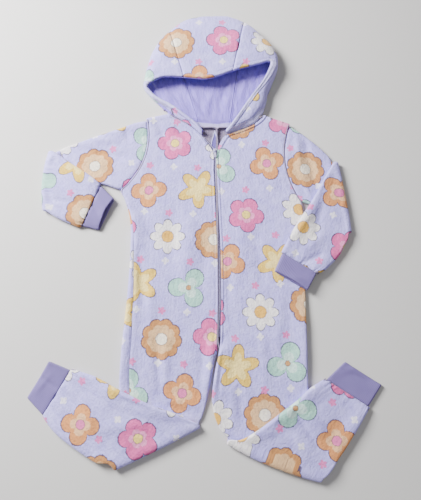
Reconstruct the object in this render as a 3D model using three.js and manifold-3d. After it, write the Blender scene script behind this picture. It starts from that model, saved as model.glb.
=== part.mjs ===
// A child's hooded onesie pajama of plush fleece, laid flat with its front up.
// Its sleeves and legs are each folded once over themselves, at elbow and knee.
// Millimetres, +X to the viewer's right, +Y towards the hood, +Z up.
// Left and right are the viewer's, looking down on the front.

import * as THREE from 'three';
import { mergeVertices } from 'three/addons/utils/BufferGeometryUtils.js';
import Module from 'manifold-3d';

const wasm = await Module();
wasm.setup();

// Driving dimensions

const FLEECE = 2.4;        // wall of the printed plush fleece
const LINING = 2.0;        // wall of the plain plush hood lining
const RIB = 1.9;           // wall of the smooth knitted cuffs
const SEAM = 0.3;          // space between two pieces along a seam
const LAYERS = 0.7;        // space between the hood's two layers, measured at their corners
const ARMHOLE_SEAM = 0.7;  // the same on the curved armhole, measured on its chords
const PRESSED = 6.2;       // height of two layers pressed flat inside a fold
const TURN = 7;            // outer radius of a limb's turn at its fold
const EDGE_REACH = 34;     // how far a plump side edge takes to settle to the middle height
const SHOULDER = 12;       // height of the rounded shoulder edge
const ZIP_HALF = 3.4;      // from the zip's middle to the edge of each front
const BACK_SEAM_X = 15;    // the centre back seam
const NEAR_EDGE = 0.1;     // how far the columns of a panel crowd towards its edges
const FAN_STEP = 0.03;     // half the space between two hood panels, in rows of the hood table

const LILAC = 0xc9bfe6;
const LILAC_LINING = 0xb9a8e0;
const LILAC_RIB = 0xa99ccb;
const ZIP_GREY = 0x9b92ae;

// Small helpers

function table(columns, rows) {
  return rows.map((row) => Object.fromEntries(columns.map((name, i) => [name, row[i]])));
}

function mix(a, b, t) {
  return a + (b - a) * t;
}

function smooth(t) {
  const x = Math.min(1, Math.max(0, t));
  return x * x * (3 - 2 * x);
}

function radians(degrees) {
  return degrees * Math.PI / 180;
}

function spread(count) {
  return Array.from({ length: count + 1 }, (_, i) => {
    const t = i / count;
    return t - NEAR_EDGE * Math.sin(2 * Math.PI * t);
  });
}

// A closed solid from two matching grids of points, the cloth's outer and inner face.
// A grid that is closed round joins its last column to its first.
function wall(outer, inner, closedRound) {
  const rows = outer.length;
  const columns = outer[0].length;
  const points = [];
  for (const grid of [outer, inner]) {
    for (const row of grid) {
      for (const p of row) points.push(p[0], p[1], p[2]);
    }
  }
  const at = (side, i, j) => side * rows * columns + i * columns + (j % columns);
  const faces = [];
  const quad = (a, b, c, d) => faces.push(a, b, c, a, c, d);
  const lastColumn = closedRound ? columns : columns - 1;
  for (let i = 0; i < rows - 1; i += 1) {
    for (let j = 0; j < lastColumn; j += 1) {
      quad(at(0, i, j), at(0, i, j + 1), at(0, i + 1, j + 1), at(0, i + 1, j));
      quad(at(1, i, j), at(1, i + 1, j), at(1, i + 1, j + 1), at(1, i, j + 1));
    }
  }
  for (let j = 0; j < lastColumn; j += 1) {
    quad(at(0, 0, j), at(1, 0, j), at(1, 0, j + 1), at(0, 0, j + 1));
    const last = rows - 1;
    quad(at(0, last, j), at(0, last, j + 1), at(1, last, j + 1), at(1, last, j));
  }
  if (!closedRound) {
    const end = columns - 1;
    for (let i = 0; i < rows - 1; i += 1) {
      quad(at(0, i, 0), at(0, i + 1, 0), at(1, i + 1, 0), at(1, i, 0));
      quad(at(0, i, end), at(1, i, end), at(1, i + 1, end), at(0, i + 1, end));
    }
  }
  return solid(points, faces);
}

function signedVolume(points, faces) {
  const corner = (i) => new THREE.Vector3().fromArray(points, 3 * i);
  let volume = 0;
  for (let f = 0; f < faces.length; f += 3) {
    const a = corner(faces[f]);
    volume += a.dot(corner(faces[f + 1]).cross(corner(faces[f + 2]))) / 6;
  }
  return volume;
}

function solid(points, faces) {
  if (signedVolume(points, faces) < 0) faces.reverse();
  const geometry = new THREE.BufferGeometry();
  geometry.setAttribute('position', new THREE.Float32BufferAttribute(points, 3));
  geometry.setIndex(faces);
  return mergeVertices(geometry, 1e-4);
}

function named(name, geometry, color, roughness, metalness = 0) {
  const material = new THREE.MeshStandardMaterial({ color, roughness, metalness });
  const mesh = new THREE.Mesh(geometry, material);
  mesh.name = name;
  return mesh;
}

// Soft folds in the upper layer: each runs from x0,y0 to x1,y1, and lifts or sinks the cloth
const FOLDS = table(['x0', 'y0', 'x1', 'y1', 'height', 'width'], [
  [-150, 292, -128, 214, 2.6, 13],
  [-120, 300, -60, 262, -2.2, 12],
  [-95, 285, -100, 236, 2.2, 12],
  [172, 268, 158, 190, 2.4, 12],
  [-172, 60, -120, 20, -1.6, 16],
  [190, 96, 120, 128, 1.8, 15],
  [40, -150, 160, -190, 1.7, 16],
  [-165, -190, -70, -228, 1.8, 15],
  [-10, -215, -90, -262, -1.7, 14],
  [30, -222, 120, -268, -1.7, 14],
  [-90, -352, -180, -384, 2.0, 15],
  [120, -392, 205, -400, 2.0, 15],
  [-230, 236, -262, 176, -1.8, 13],
  [262, 196, 226, 128, 1.8, 13],
  [-300, 150, -276, 92, 1.8, 12],
  [250, 96, 212, 20, -1.8, 14],
]);

function foldHeight(x, y) {
  let height = 0;
  for (const fold of FOLDS) {
    const dx = fold.x1 - fold.x0;
    const dy = fold.y1 - fold.y0;
    const along = ((x - fold.x0) * dx + (y - fold.y0) * dy) / (dx * dx + dy * dy);
    const t = Math.min(1, Math.max(0, along));
    const away = Math.hypot(x - fold.x0 - t * dx, y - fold.y0 - t * dy);
    const fade = Math.sin(Math.PI * mix(0.2, 0.8, t));
    height += fold.height * fade * Math.exp(-((away / fold.width) ** 2));
  }
  return height;
}

// The edge of a flat tube. At position 0 it is the outermost point of a half round of
// the given height. Positive positions run over the upper layer, negative ones under.
// A round of 0 is a flat open edge, and 1 is the full half round.
function edgePoint(position, height, middle, round) {
  const r = height / 2;
  const quarter = r * Math.PI / 2;
  const away = Math.abs(position);
  const upper = position >= 0;
  let s = r + away - quarter;
  let h = upper ? mix(height, middle, smooth((s - r) / EDGE_REACH)) : 0;
  if (away < quarter) {
    const angle = position / r;
    s = r * (1 - Math.cos(angle));
    h = r * (1 + Math.sin(angle));
  }
  const openHeight = upper ? middle : 0;
  return [mix(away, s, round), mix(openHeight, h, round)];
}

// One row across a flat tube: from edge A to edge B in plan, with its height in the
// middle and at both edges. turn is its angle round the limb's fold, 0 before the fold
// and 180 after it, where the row lies upside down on what is under it.
class Row {
  constructor(values) {
    const plain = {
      mid: 8, edgeA: 13, edgeB: 13, roundA: 1, roundB: 1, turn: 0, liftA: 0, liftB: 0, bow: 0, cap: 90,
      outX: 0, outY: 0,
    };
    Object.assign(this, plain, values);
    this.width = Math.hypot(this.bx - this.ax, this.by - this.ay);
  }

  excess(edge, round) {
    return round * (Math.PI / 4 - 0.5) * edge;
  }

  length() {
    return this.width + this.excess(this.edgeA, this.roundA) + this.excess(this.edgeB, this.roundB);
  }

  // The section's outer line, at a position measured from edge A over the upper layer
  // (or under the lower one, where upper is false).
  line(position, upper) {
    const side = upper ? 1 : -1;
    const total = this.length();
    if (position < total / 2) return edgePoint(side * position, this.edgeA, this.mid, this.roundA);
    const [s, h] = edgePoint(side * (total - position), this.edgeB, this.mid, this.roundB);
    return [this.width - s, h];
  }

  // A point of the wall at a depth from its outer face. The front layer is the upper one
  // until the fold, and the lower one after it.
  point(position, front, depth) {
    const flipped = this.turn > 90;
    let upper = front !== flipped;
    let where = position;
    if (position < 0) {
      upper = !upper;
      where = -position;
    }
    const step = 0.05;
    const [s0, h0] = this.line(Math.max(0, where - step), upper);
    const [s1, h1] = this.line(where + step, upper);
    const [s, h] = this.line(where, upper);
    const span = Math.hypot(s1 - s0, h1 - h0);
    const side = upper ? 1 : -1;
    const inS = side * (h1 - h0) / span;
    const inH = -side * (s1 - s0) / span;
    return this.place(s + depth * inS, h + depth * inH, upper, depth, flipped);
  }

  place(s, h, upper, depth, flipped) {
    const t = s / this.width;
    const ux = (this.bx - this.ax) / this.width;
    const uy = (this.by - this.ay) / this.width;
    const side = this.bow * 4 * t * (1 - t);
    let x = this.ax + ux * s - uy * side;
    let y = this.ay + uy * s + ux * side;
    let height = h;
    if (this.cap < 90) {
      const radius = SHOULDER / 2 - depth;
      const angle = radians(this.cap);
      x += this.outX * radius * Math.cos(angle);
      y += this.outY * radius * Math.cos(angle);
      height = SHOULDER / 2 + (upper ? 1 : -1) * radius * Math.sin(angle);
      return [x, y, height];
    }
    if (upper) {
      const inside = Math.min(t, 1 - t) * this.width;
      const free = smooth((this.mid - PRESSED) / 1.2);
      height += foldHeight(x, y) * free * smooth(inside / 16);
    }
    if (flipped) height = PRESSED - height;
    const angle = radians(this.turn);
    const reach = TURN - height;
    x += this.outX * reach * Math.sin(angle);
    y += this.outY * reach * Math.sin(angle);
    const drop = this.liftA < this.liftB ? (1 - t) ** 3 : 1 - t ** 3;
    const lift = mix(this.liftB, this.liftA, drop);
    return [x, y, lift + TURN - reach * Math.cos(angle)];
  }
}

// The rows round a limb's fold, whose outermost line runs from A to B
function foldRows(fold) {
  const length = Math.hypot(fold.bx - fold.ax, fold.by - fold.ay);
  const outX = fold.side * (fold.by - fold.ay) / length;
  const outY = -fold.side * (fold.bx - fold.ax) / length;
  const base = {
    ax: fold.ax - TURN * outX,
    ay: fold.ay - TURN * outY,
    bx: fold.bx - TURN * outX,
    by: fold.by - TURN * outY,
    fx: fold.bx - TURN * outX,
    fy: fold.by - TURN * outY,
    bow: fold.bow ?? 0,
    mid: PRESSED,
    edgeA: PRESSED,
    edgeB: PRESSED,
    outX,
    outY,
  };
  return [0, 36, 72, 108, 144, 180].map((turn) => ({ ...base, turn }));
}

// Rows of the body: A is the armhole, then the outer edge. F is the front's inner edge:
// neckline, zip, then inseam. B is the back's inner edge: neckline, centre, then inseam.

const ARMHOLE = {
  left: { ax: -148, ay: 304, bx: -201, by: 136, bow: 24 },
  right: { ax: 182, ay: 290, bx: 204, by: 108, bow: -22 },
};

const ZIP_LINE = table(['y', 'x'], [
  [-204, 17],
  [-111, 20],
  [-2, 19],
  [111, 14],
  [228, 10],
]);

function zipX(y) {
  let x = ZIP_LINE[0].x;
  for (let i = 1; i < ZIP_LINE.length; i += 1) {
    const low = ZIP_LINE[i - 1];
    const high = ZIP_LINE[i];
    if (y >= low.y) x = mix(low.x, high.x, Math.min(1, (y - low.y) / (high.y - low.y)));
  }
  return x;
}

function armholePoint(side, u, gap) {
  const a = ARMHOLE[side];
  const width = Math.hypot(a.bx - a.ax, a.by - a.ay);
  const out = a.bow * 4 * u * (1 - u) + Math.sign(a.bow) * gap;
  return {
    ax: mix(a.ax, a.bx, u) - (a.by - a.ay) / width * out,
    ay: mix(a.ay, a.by, u) + (a.bx - a.ax) / width * out,
  };
}

// Upper body: u is the place along the armhole, from shoulder to armpit
const YOKE = {
  left: table(['u', 'fx', 'fy', 'bx', 'by', 'mid'], [
    [0.0, -92, 316, -92, 316, SHOULDER],
    [0.08, -80, 309, -74, 306, 11],
    [0.2, -62, 299, -50, 296, 9.5],
    [0.34, -41, 284, -20, 288, 9],
    [0.5, -21, 266, 14.85, 284, 9],
    [0.64, -8, 248, 14.85, 254, 8.6],
    [0.78, 4.2, 230, 14.85, 222, 8.6],
    [0.9, 7.9, 180, 14.85, 176, 8.4],
    [1.0, 9.8, 138, 14.85, 138, 8.4],
  ]),
  right: table(['u', 'fx', 'fy', 'bx', 'by', 'mid'], [
    [0.0, 120, 312, 120, 312, SHOULDER],
    [0.09, 104, 295, 100, 303, 11],
    [0.22, 82, 284, 72, 294, 9.5],
    [0.36, 58, 275, 44, 288, 9],
    [0.5, 36, 267, 15.15, 284, 9],
    [0.66, 24, 250, 15.15, 254, 8.6],
    [0.8, 15.8, 231, 15.15, 222, 8.6],
    [0.9, 15.2, 170, 15.15, 170, 8.4],
    [1.0, 17.4, 112, 15.15, 112, 8.4],
  ]),
};

// Trunk, from armpit to crotch
const TRUNK = {
  left: table(['ax', 'y', 'edgeA'], [
    [-191, 110, 12],
    [-182, 84, 13],
    [-176, 50, 13],
    [-175, 8, 13],
    [-176, -50, 13],
    [-179, -108, 13],
    [-183, -160, 13],
    [-186, -200, 13],
  ]),
  right: table(['ax', 'y', 'edgeA'], [
    [207, 84, 8.4],
    [208, 50, 8.2],
    [207, 8, 8.2],
    [206, -50, 8.4],
    [205, -108, 9],
    [204, -160, 13],
    [204, -200, 13],
  ]),
};

// Legs, from crotch to knee fold, then from the fold to the ankle seam
const LEG_ABOVE = {
  left: table(['ax', 'ay', 'bx', 'by', 'mid', 'edgeA', 'edgeB'], [
    [-187, -214, 14, -216, 8, 13, 13],
    [-188, -240, 8, -240, 8, 13, 12],
    [-189, -278, 1, -276, 7.6, 10, 12],
    [-188, -318, -5, -306, 6.5, 6.8, 9],
    [-189, -366, -11, -330, PRESSED, PRESSED, 7],
    [-190, -408, -17, -348, PRESSED, PRESSED, PRESSED],
  ]),
  right: table(['ax', 'ay', 'bx', 'by', 'mid', 'edgeA', 'edgeB'], [
    [204, -214, 18, -216, 8, 13, 13],
    [203, -244, 12.5, -242, 8, 13, 12],
    [203, -286, 6, -280, 7.6, 10, 12],
    [205, -332, 3, -314, 6.5, 6.8, 9],
    [209, -382, 8, -346, PRESSED, PRESSED, 7],
    [216, -426, 19, -372, PRESSED, PRESSED, PRESSED],
  ]),
};

const KNEE_FOLD = {
  left: { ax: -192, ay: -450, bx: -20, by: -369, bow: -2, side: 1 },
  right: { ax: 221, ay: -472, bx: 32, by: -400, bow: 8, side: -1 },
};

const LEG_BELOW = {
  left: table(['ax', 'ay', 'bx', 'by', 'mid', 'edgeA', 'edgeB', 'liftA', 'liftB'], [
    [-206, -436, -44, -352, 6.6, 8, 8, -0.4, 0],
    [-226, -435, -78, -338, 7.6, 10, 11, -2.2, 0],
    [-249, -424, -116, -325, 8, 12, 13, -6.5, 0.4],
    [-272, -410, -156, -308, 8, 13, 13, -7.8, 0.8],
    [-296, -394, -194, -290, 8, 13, 13, -7.8, 0],
    [-318, -376, -234, -270, 8, 13, 12, -7.8, -5],
    [-344, -349, -289, -253, 8, 10, 10, -7.8, -7.8],
  ]),
  right: table(['ax', 'ay', 'bx', 'by', 'mid', 'edgeA', 'edgeB', 'liftA', 'liftB'], [
    [233, -458, 58, -391, 6.6, 8, 8, -0.4, 0],
    [244, -446, 86, -378, 7.6, 10, 11, -2.2, 0],
    [256, -430, 116, -358, 8, 12, 13, -6.5, 0.4],
    [272, -410, 146, -336, 8, 13, 13, -7.8, 0.8],
    [289, -386, 178, -313, 8, 13, 13, -7.8, 0],
    [307, -360, 206, -290, 8, 13, 12, -7.8, -3],
    [327, -330, 238, -273, 8, 10, 10, -7.8, -7.8],
  ]),
};

const SIDE_SEAM_IN = { left: 24, right: 0 };  // how far the side seam lies in on the front, at the leg

function bodyRows(side) {
  const sign = side === 'left' ? -1 : 1;
  const rows = [];
  const yoke = YOKE[side];
  const top = yoke[0];
  const start = armholePoint(side, 0, ARMHOLE_SEAM);
  const shoulder = Math.hypot(top.fx - start.ax, top.fy - start.ay);
  const shoulderOut = {
    outX: sign * (top.fy - start.ay) / shoulder,
    outY: -sign * (top.fx - start.ax) / shoulder,
  };
  for (const cap of [2.5, 34, 62]) {
    rows.push({ ...start, ...top, mid: SHOULDER, cap, roundA: 0, roundB: 0, seamIn: 0, ...shoulderOut });
  }
  yoke.forEach((row) => {
    const edge = armholePoint(side, row.u, ARMHOLE_SEAM);
    rows.push({ ...edge, ...row, roundA: 0, roundB: 0, seamIn: 0 });
  });
  const trunk = TRUNK[side];
  trunk.forEach((row, i) => {
    const inner = {
      fx: zipX(row.y) + sign * ZIP_HALF,
      fy: row.y,
      bx: BACK_SEAM_X + sign * SEAM / 2,
      by: row.y,
    };
    const seamIn = SIDE_SEAM_IN[side] * (i + 1) / trunk.length;
    rows.push({ ax: row.ax, ay: row.y, ...inner, mid: 8.4, edgeA: row.edgeA, roundB: 0, seamIn });
  });
  const below = LEG_BELOW[side].map((row) => ({ ...row, turn: 180 }));
  const leg = [...LEG_ABOVE[side], ...foldRows(KNEE_FOLD[side]), ...below];
  for (const row of leg) rows.push({ ...row, fx: row.bx, fy: row.by, seamIn: SIDE_SEAM_IN[side] });
  return rows;
}

// One panel of the body. The front runs from the side seam over the upper layer to its
// inner edge. The back runs from the side seam, round the outer edge and underneath.
function bodyPanel(rows, front, columns) {
  const faces = [0, FLEECE].map((depth) => rows.map((values) => {
    const inner = front ? { bx: values.fx, by: values.fy } : {};
    const row = new Row({ ...values, ...inner });
    const from = front ? values.seamIn + SEAM / 2 : -values.seamIn + SEAM / 2;
    const to = row.length() - SEAM / 2;
    return spread(columns).map((t) => row.point(mix(from, to, t), front, depth));
  }));
  return wall(faces[0], faces[1], false);
}

// A tube closed round: a sleeve or a cuff
function tube(rows, columns, thickness) {
  const faces = [0, thickness].map((depth) => rows.map((values) => {
    const row = new Row(values);
    const places = spread(columns);
    const over = places.map((t) => row.point(t * row.length(), true, depth));
    const under = places.slice(1, -1).reverse().map((t) => row.point(t * row.length(), false, depth));
    return [...over, ...under];
  }));
  return wall(faces[0], faces[1], true);
}

const SLEEVE = {
  left: {
    above: table(['ax', 'ay', 'bx', 'by', 'bow', 'mid', 'edgeA', 'edgeB'], [
      [-148, 304, -201, 136, 24, 9, 11, 9],
      [-172, 298, -216, 141, 17, 8.6, 12, 10],
      [-201, 287, -233, 147, 10, 8, 12, 10],
      [-233, 275, -254, 152, 4, 7.6, 11, 8],
      [-266, 264, -281, 148, 0, 6.8, 9, PRESSED],
      [-298, 252, -309, 132, 0, PRESSED, 7, PRESSED],
      [-330, 240, -338, 110, -3, PRESSED, PRESSED, PRESSED],
    ]),
    fold: { ax: -369, ay: 228, bx: -373, by: 87, bow: -8, side: 1 },
    below: table(['ax', 'ay', 'bx', 'by', 'bow', 'mid', 'edgeA', 'edgeB', 'liftA', 'liftB'], [
      [-350, 222, -355, 80, -3, 6.8, 8, 9, 0, -3],
      [-332, 209, -340, 71, 0, 7.8, 10, 11, 0, -6],
      [-312, 195, -323, 63, 0, 8, 12, 12, 0, -7.8],
      [-290, 181, -306, 56, 0, 8, 12, 12, 0, -7.8],
      [-268, 166, -294, 51, 0, 8, 12, 11, 0, -7.8],
      [-244, 147, -285, 50, 0, 8, 9, 9, -1.5, -7.8],
    ]),
  },
  right: {
    above: table(['ax', 'ay', 'bx', 'by', 'bow', 'mid', 'edgeA', 'edgeB'], [
      [182, 290, 204, 108, -22, 9, 11, 9],
      [205, 274, 221, 102, -14, 8.4, 12, 8],
      [227, 256, 242, 90, -8, 8, 11, PRESSED],
      [248, 238, 264, 74, -3, 7, 9, PRESSED],
      [266, 220, 283, 57, 0, PRESSED, 7, PRESSED],
    ]),
    fold: { ax: 289, ay: 203, bx: 311, by: 37, bow: 2, side: -1 },
    below: table(['ax', 'ay', 'bx', 'by', 'bow', 'mid', 'edgeA', 'edgeB', 'liftA', 'liftB'], [
      [271, 188, 300, 22, 0, 6.8, 8, 9, 0, -3],
      [257, 165, 292, 6, 0, 7.8, 10, 11, 0, -6],
      [240, 135, 282, -12, 0, 8, 12, 12, 0, -7.8],
      [222, 105, 270, -26, 0, 8, 12, 12, 0, -7.8],
      [203, 77, 258, -37, 0, 8, 12, 12, 1.4, -6],
      [180, 42, 246, -47, 0, 8, 12, 11, 2, -2],
      [153, -8, 230, -55, 0, 8, 9, 9, 2, 2],
    ]),
  },
};

function sleeve(side) {
  const parts = SLEEVE[side];
  const below = parts.below.map((row) => ({ ...row, turn: 180 }));
  return tube([...parts.above, ...foldRows(parts.fold), ...below], 11, FLEECE);
}

// Cuffs: from the seam (A to B) to the open end (endA to endB), lying at height lift
const CUFF_HEIGHT = 7.4;
const CUFF_GATHER = 0.94;
const CUFF_STEPS = [0.35, 0.7, 1];  // the cuff's rows, from seam to open end
const CUFFS = table([
  'name', 'ax', 'ay', 'bx', 'by', 'endAx', 'endAy', 'endBx', 'endBy', 'liftA', 'liftB',
], [
  ['cuff_wrist_left', -244, 147, -285, 50, -213, 116, -247, 41, 5.6, 0],
  ['cuff_wrist_right', 153, -8, 230, -55, 135, -48, 209, -92, 10.4, 10.4],
  ['cuff_ankle_left', -344, -349, -289, -253, -379, -314, -336, -235, 0, 0],
  ['cuff_ankle_right', 327, -330, 238, -273, 357, -287, 279, -237, 0, 0],
]);

function cuff(values) {
  const start = new THREE.Vector2((values.ax + values.bx) / 2, (values.ay + values.by) / 2);
  const end = new THREE.Vector2((values.endAx + values.endBx) / 2, (values.endAy + values.endBy) / 2);
  const gap = SEAM / start.distanceTo(end);
  const rows = [gap, ...CUFF_STEPS].map((t) => {
    const a = [mix(values.ax, values.endAx, t), mix(values.ay, values.endAy, t)];
    const b = [mix(values.bx, values.endBx, t), mix(values.by, values.endBy, t)];
    const inset = (1 - CUFF_GATHER) / 2;
    return {
      ax: mix(a[0], b[0], inset),
      ay: mix(a[1], b[1], inset),
      bx: mix(b[0], a[0], inset),
      by: mix(b[1], a[1], inset),
      mid: CUFF_HEIGHT,
      edgeA: CUFF_HEIGHT,
      edgeB: CUFF_HEIGHT,
      liftA: values.liftA,
      liftB: values.liftB,
    };
  });
  return tube(rows, 10, RIB);
}

// The hood is a fan of rows from the left end of the neck seam, over the crown, to its
// right end. Each row goes from the neck seam (s), under and out to the rim (r), which is
// the outline, and back over to the front edge, the lip (l).
const HOOD = table(['sx', 'sy', 'sz', 'rx', 'ry', 'rz', 'lx', 'ly', 'lz'], [
  [-20.4, 266.8, 8, -20, 272, 13, -18, 277, 17],
  [-40.4, 284.9, 8.6, -38, 290, 14, -35, 295, 20],
  [-61.4, 300, 10, -60, 306, 14, -56, 312, 21],
  [-79, 311, 13.2, -81, 321, 14, -76, 328, 22],
  [-90, 323, 13, -100, 335, 15, -94, 340, 22],
  [-91, 323.5, 7, -118, 346, 13.5, -111, 349, 22],
  [-87, 315, 1, -136, 358, 12, -129, 360, 23],
  [-80, 310.7, 0.3, -151, 373, 12, -142, 374, 24],
  [-70, 305.4, 0, -156, 389, 13, -145, 388, 25],
  [-60, 301.2, 0, -154, 408, 14, -133, 401, 30],
  [-51, 297.5, 0, -148, 436, 16, -114, 408, 34],
  [-42, 295, 0, -139, 466, 17, -96, 410, 36],
  [-32, 292.3, 0, -119, 503, 18, -77, 409, 36],
  [-22, 289.7, 0, -92, 533, 18, -57, 407, 36],
  [-10, 288, 0, -60, 557, 18, -37, 405, 36],
  [3, 286.5, 0, -26, 567, 18, -16, 406, 36],
  [15, 285.2, 0, 8, 569, 18, 3, 410, 36],
  [27, 286.8, 0, 40, 567, 18, 22, 417, 36],
  [39, 288.4, 0, 70, 557, 18, 43, 425, 36],
  [50, 290.5, 0, 97, 541, 18, 65, 433, 36],
  [61, 292.9, 0, 122, 517, 17, 90, 441, 35],
  [72, 295.2, 0, 143, 494, 16, 114, 450, 33],
  [82, 298.4, 0, 157, 467, 14, 134, 452, 30],
  [91, 301.4, 0, 159, 441, 13, 140, 438, 28],
  [99, 304, 0, 153, 416, 13, 128, 408, 27],
  [106, 307.2, 0.2, 143, 394, 13, 112, 382, 27],
  [114, 311.2, 1, 134, 372, 13, 94, 358, 26],
  [121, 318.6, 5.4, 128, 346, 14, 79, 336, 26],
  [120, 317, 12.4, 119, 326, 15, 66, 316, 25],
  [104.6, 296.6, 11.6, 99, 304, 16, 55, 301, 23],
  [82.4, 285.3, 9.6, 78, 291, 15, 47, 290, 21],
  [58.3, 276.2, 8, 55, 281, 13, 41, 283, 19],
  [36.4, 268.2, 8, 37, 272, 12, 35, 277, 16],
]);

const CROWN_SEAMS = { left: 12.8, right: 18.4 };  // where the hood's panels meet, in rows
const LINING_DEPTH = FLEECE + LAYERS;
// Rows by the hood's tight left corner that have no lining solid
const LINING_SKIPS = { left: 9, centre: 0, right: 0 };
const RIM_TURN = 24;  // how far in from the rim the hood's back leaves the floor

function hoodRow(v) {
  const last = HOOD.length - 1;
  const place = Math.min(last, Math.max(0, v));
  const i = Math.min(last - 1, Math.floor(place));
  const t = place - i;
  const before = HOOD[Math.max(0, i - 1)];
  const after = HOOD[Math.min(last, i + 2)];
  const row = {};
  for (const name of Object.keys(HOOD[0])) {
    const [p0, p1, p2, p3] = [before[name], HOOD[i][name], HOOD[i + 1][name], after[name]];
    const bend = (2 * p0 - 5 * p1 + 4 * p2 - p3) * t * t + (3 * p1 - p0 - 3 * p2 + p3) * t * t * t;
    row[name] = 0.5 * (2 * p1 + (p2 - p0) * t + bend);
  }
  return row;
}

// The outer face of the hood at row v and at t from the neck seam (0) to the lip (1)
function hoodPoint(v, t) {
  const row = hoodRow(v);
  const toRim = Math.hypot(row.rx - row.sx, row.ry - row.sy);
  const flat = smooth((toRim - 18) / 30);
  const seam = new THREE.Vector3(row.sx, row.sy, row.sz);
  const rim = new THREE.Vector3(row.rx, row.ry, row.rz);
  const lip = new THREE.Vector3(row.lx, row.ly, row.lz);
  const out = seam.clone().lerp(rim, 1 - Math.min(0.5, RIM_TURN / toRim));
  out.z = mix(out.z, 0, flat);
  const rising = rim.clone().lerp(lip, 0.25);
  rising.z = mix(rising.z, Math.max(rim.z, lip.z) - 1, 0.8);
  const stops = [seam, seam.clone().lerp(out, 0.5), out, rim, rising, lip];
  const path = new THREE.CatmullRomCurve3(stops, false, 'centripetal');
  const point = path.getPoint(t);
  point.z = Math.max(0, point.z);
  return point;
}

// How far either side of a point, in rows and along a row, its inward direction is taken
const ROW_NUDGE = 0.5;
const STEP_NUDGE = 0.03;

function hoodSheet(from, to, rows, columns, near, far, skip) {
  const last = HOOD.length - 1;
  const faces = [near, far].map((depth) => Array.from({ length: rows + 1 - skip }, (_, i) => {
    const v = mix(from, to, (i + skip) / rows);
    return spread(columns).map((t) => {
      const point = hoodPoint(v, t);
      const ahead = hoodPoint(Math.min(last, v + ROW_NUDGE), t);
      const alongV = ahead.sub(hoodPoint(Math.max(0, v - ROW_NUDGE), t));
      const further = hoodPoint(v, Math.min(1, t + STEP_NUDGE));
      const alongT = further.sub(hoodPoint(v, Math.max(0, t - STEP_NUDGE)));
      const inward = alongV.cross(alongT).normalize();
      point.addScaledVector(inward, depth);
      point.z = Math.max(point.z, depth);
      return point.toArray();
    });
  }));
  return wall(faces[0], faces[1], false);
}

function hoodPanels() {
  const last = HOOD.length - 1;
  const cuts = [
    ['left', 0, CROWN_SEAMS.left - FAN_STEP, 13],
    ['centre', CROWN_SEAMS.left + FAN_STEP, CROWN_SEAMS.right - FAN_STEP, 7],
    ['right', CROWN_SEAMS.right + FAN_STEP, last, 15],
  ];
  const group = new THREE.Group();
  for (const [name, from, to, rows] of cuts) {
    const outer = hoodSheet(from, to, rows, 11, 0, FLEECE, 0);
    const inner = hoodSheet(from, to, rows, 11, LINING_DEPTH, LINING_DEPTH + LINING, LINING_SKIPS[name]);
    group.add(named(`hood_${name}`, outer, LILAC, 0.95));
    group.add(named(`lining_${name}`, inner, LILAC_LINING, 0.95));
  }
  return group;
}

// The zip lies under the two front edges. Each tape runs up the zip and out along the V.

const TAPE_WIDTH = 11;
const TAPE_THICK = 0.9;
const TAPE_IN = 1.4;      // from the zip's middle to the tape
const TAPE_PART = 8;      // how far below the slider the tapes part
const COIL_THICK = 1.4;
const COIL_HALF = 2.6;
const GUARD_THICK = 1.4;
const GUARD_Z = 2.9;
const ZIP_BOTTOM = -188;
const ZIP_Z = 4.9;
const SLIDER_Y = 228;
const ZIP_V = {
  left: table(['x', 'y', 'z'], [[0, 244, 4.9], [-17, 264, 5]]),
  right: table(['x', 'y', 'z'], [[20.5, 244, 4.9], [31, 264, 5]]),
};

function strip(stations, thickness) {
  const outer = stations.map((s) => [[s.x0, s.y, s.z + thickness], [s.x1, s.y, s.z + thickness]]);
  const inner = stations.map((s) => [[s.x0, s.y, s.z], [s.x1, s.y, s.z]]);
  return wall(outer, inner, false);
}

function tape(side) {
  const sign = side === 'left' ? -1 : 1;
  const straight = [ZIP_BOTTOM, -111, -2, 111, SLIDER_Y - TAPE_PART].map((y) => (
    { x: zipX(y) + sign * TAPE_IN, y, z: ZIP_Z }));
  const stations = [...straight, ...ZIP_V[side]].map((s) => (
    { ...s, x0: s.x, x1: s.x + sign * TAPE_WIDTH }));
  return strip(stations, TAPE_THICK);
}

function coil() {
  const stations = [ZIP_BOTTOM, -111, -2, 111, SLIDER_Y - 1].map((y) => (
    { x0: zipX(y) - COIL_HALF, x1: zipX(y) + COIL_HALF, y, z: ZIP_Z + TAPE_THICK + SEAM }));
  return strip(stations, COIL_THICK);
}

function guard() {
  const stations = table(['y', 'half'], [
    [ZIP_BOTTOM, 10],
    [-2, 10],
    [150, 10],
    [232, 10],
    [252, 8.5],
    [268, 4],
    [280, 0.8],
  ]).map((s) => ({ y: s.y, x0: zipX(s.y) - s.half, x1: zipX(s.y) + s.half, z: GUARD_Z }));
  return strip(stations, GUARD_THICK);
}

// A box with its edges cut square, from its two corners
function block(x0, y0, z0, x1, y1, z1) {
  const geometry = new THREE.BoxGeometry(x1 - x0, y1 - y0, z1 - z0);
  geometry.translate((x0 + x1) / 2, (y0 + y1) / 2, (z0 + z1) / 2);
  return geometry;
}

const SLIDER_LENGTH = 11;
const SLIDER_PLATE = 2;
const SLIDER_BASE = ZIP_Z + TAPE_THICK + SEAM + COIL_THICK + SEAM;
const BRIDGE = { half: 3.4, height: 4.4, bar: 1.1, width: 1.4 };
const PULL = { length: 16, thick: 1.2, half: 2.5, slot: 1.2, slotEnd: 5.2, bar: 0.7, ring: 3.4, eye: 1.5 };
const PULL_AXIS = SLIDER_BASE + SLIDER_PLATE + 1.7;

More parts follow.
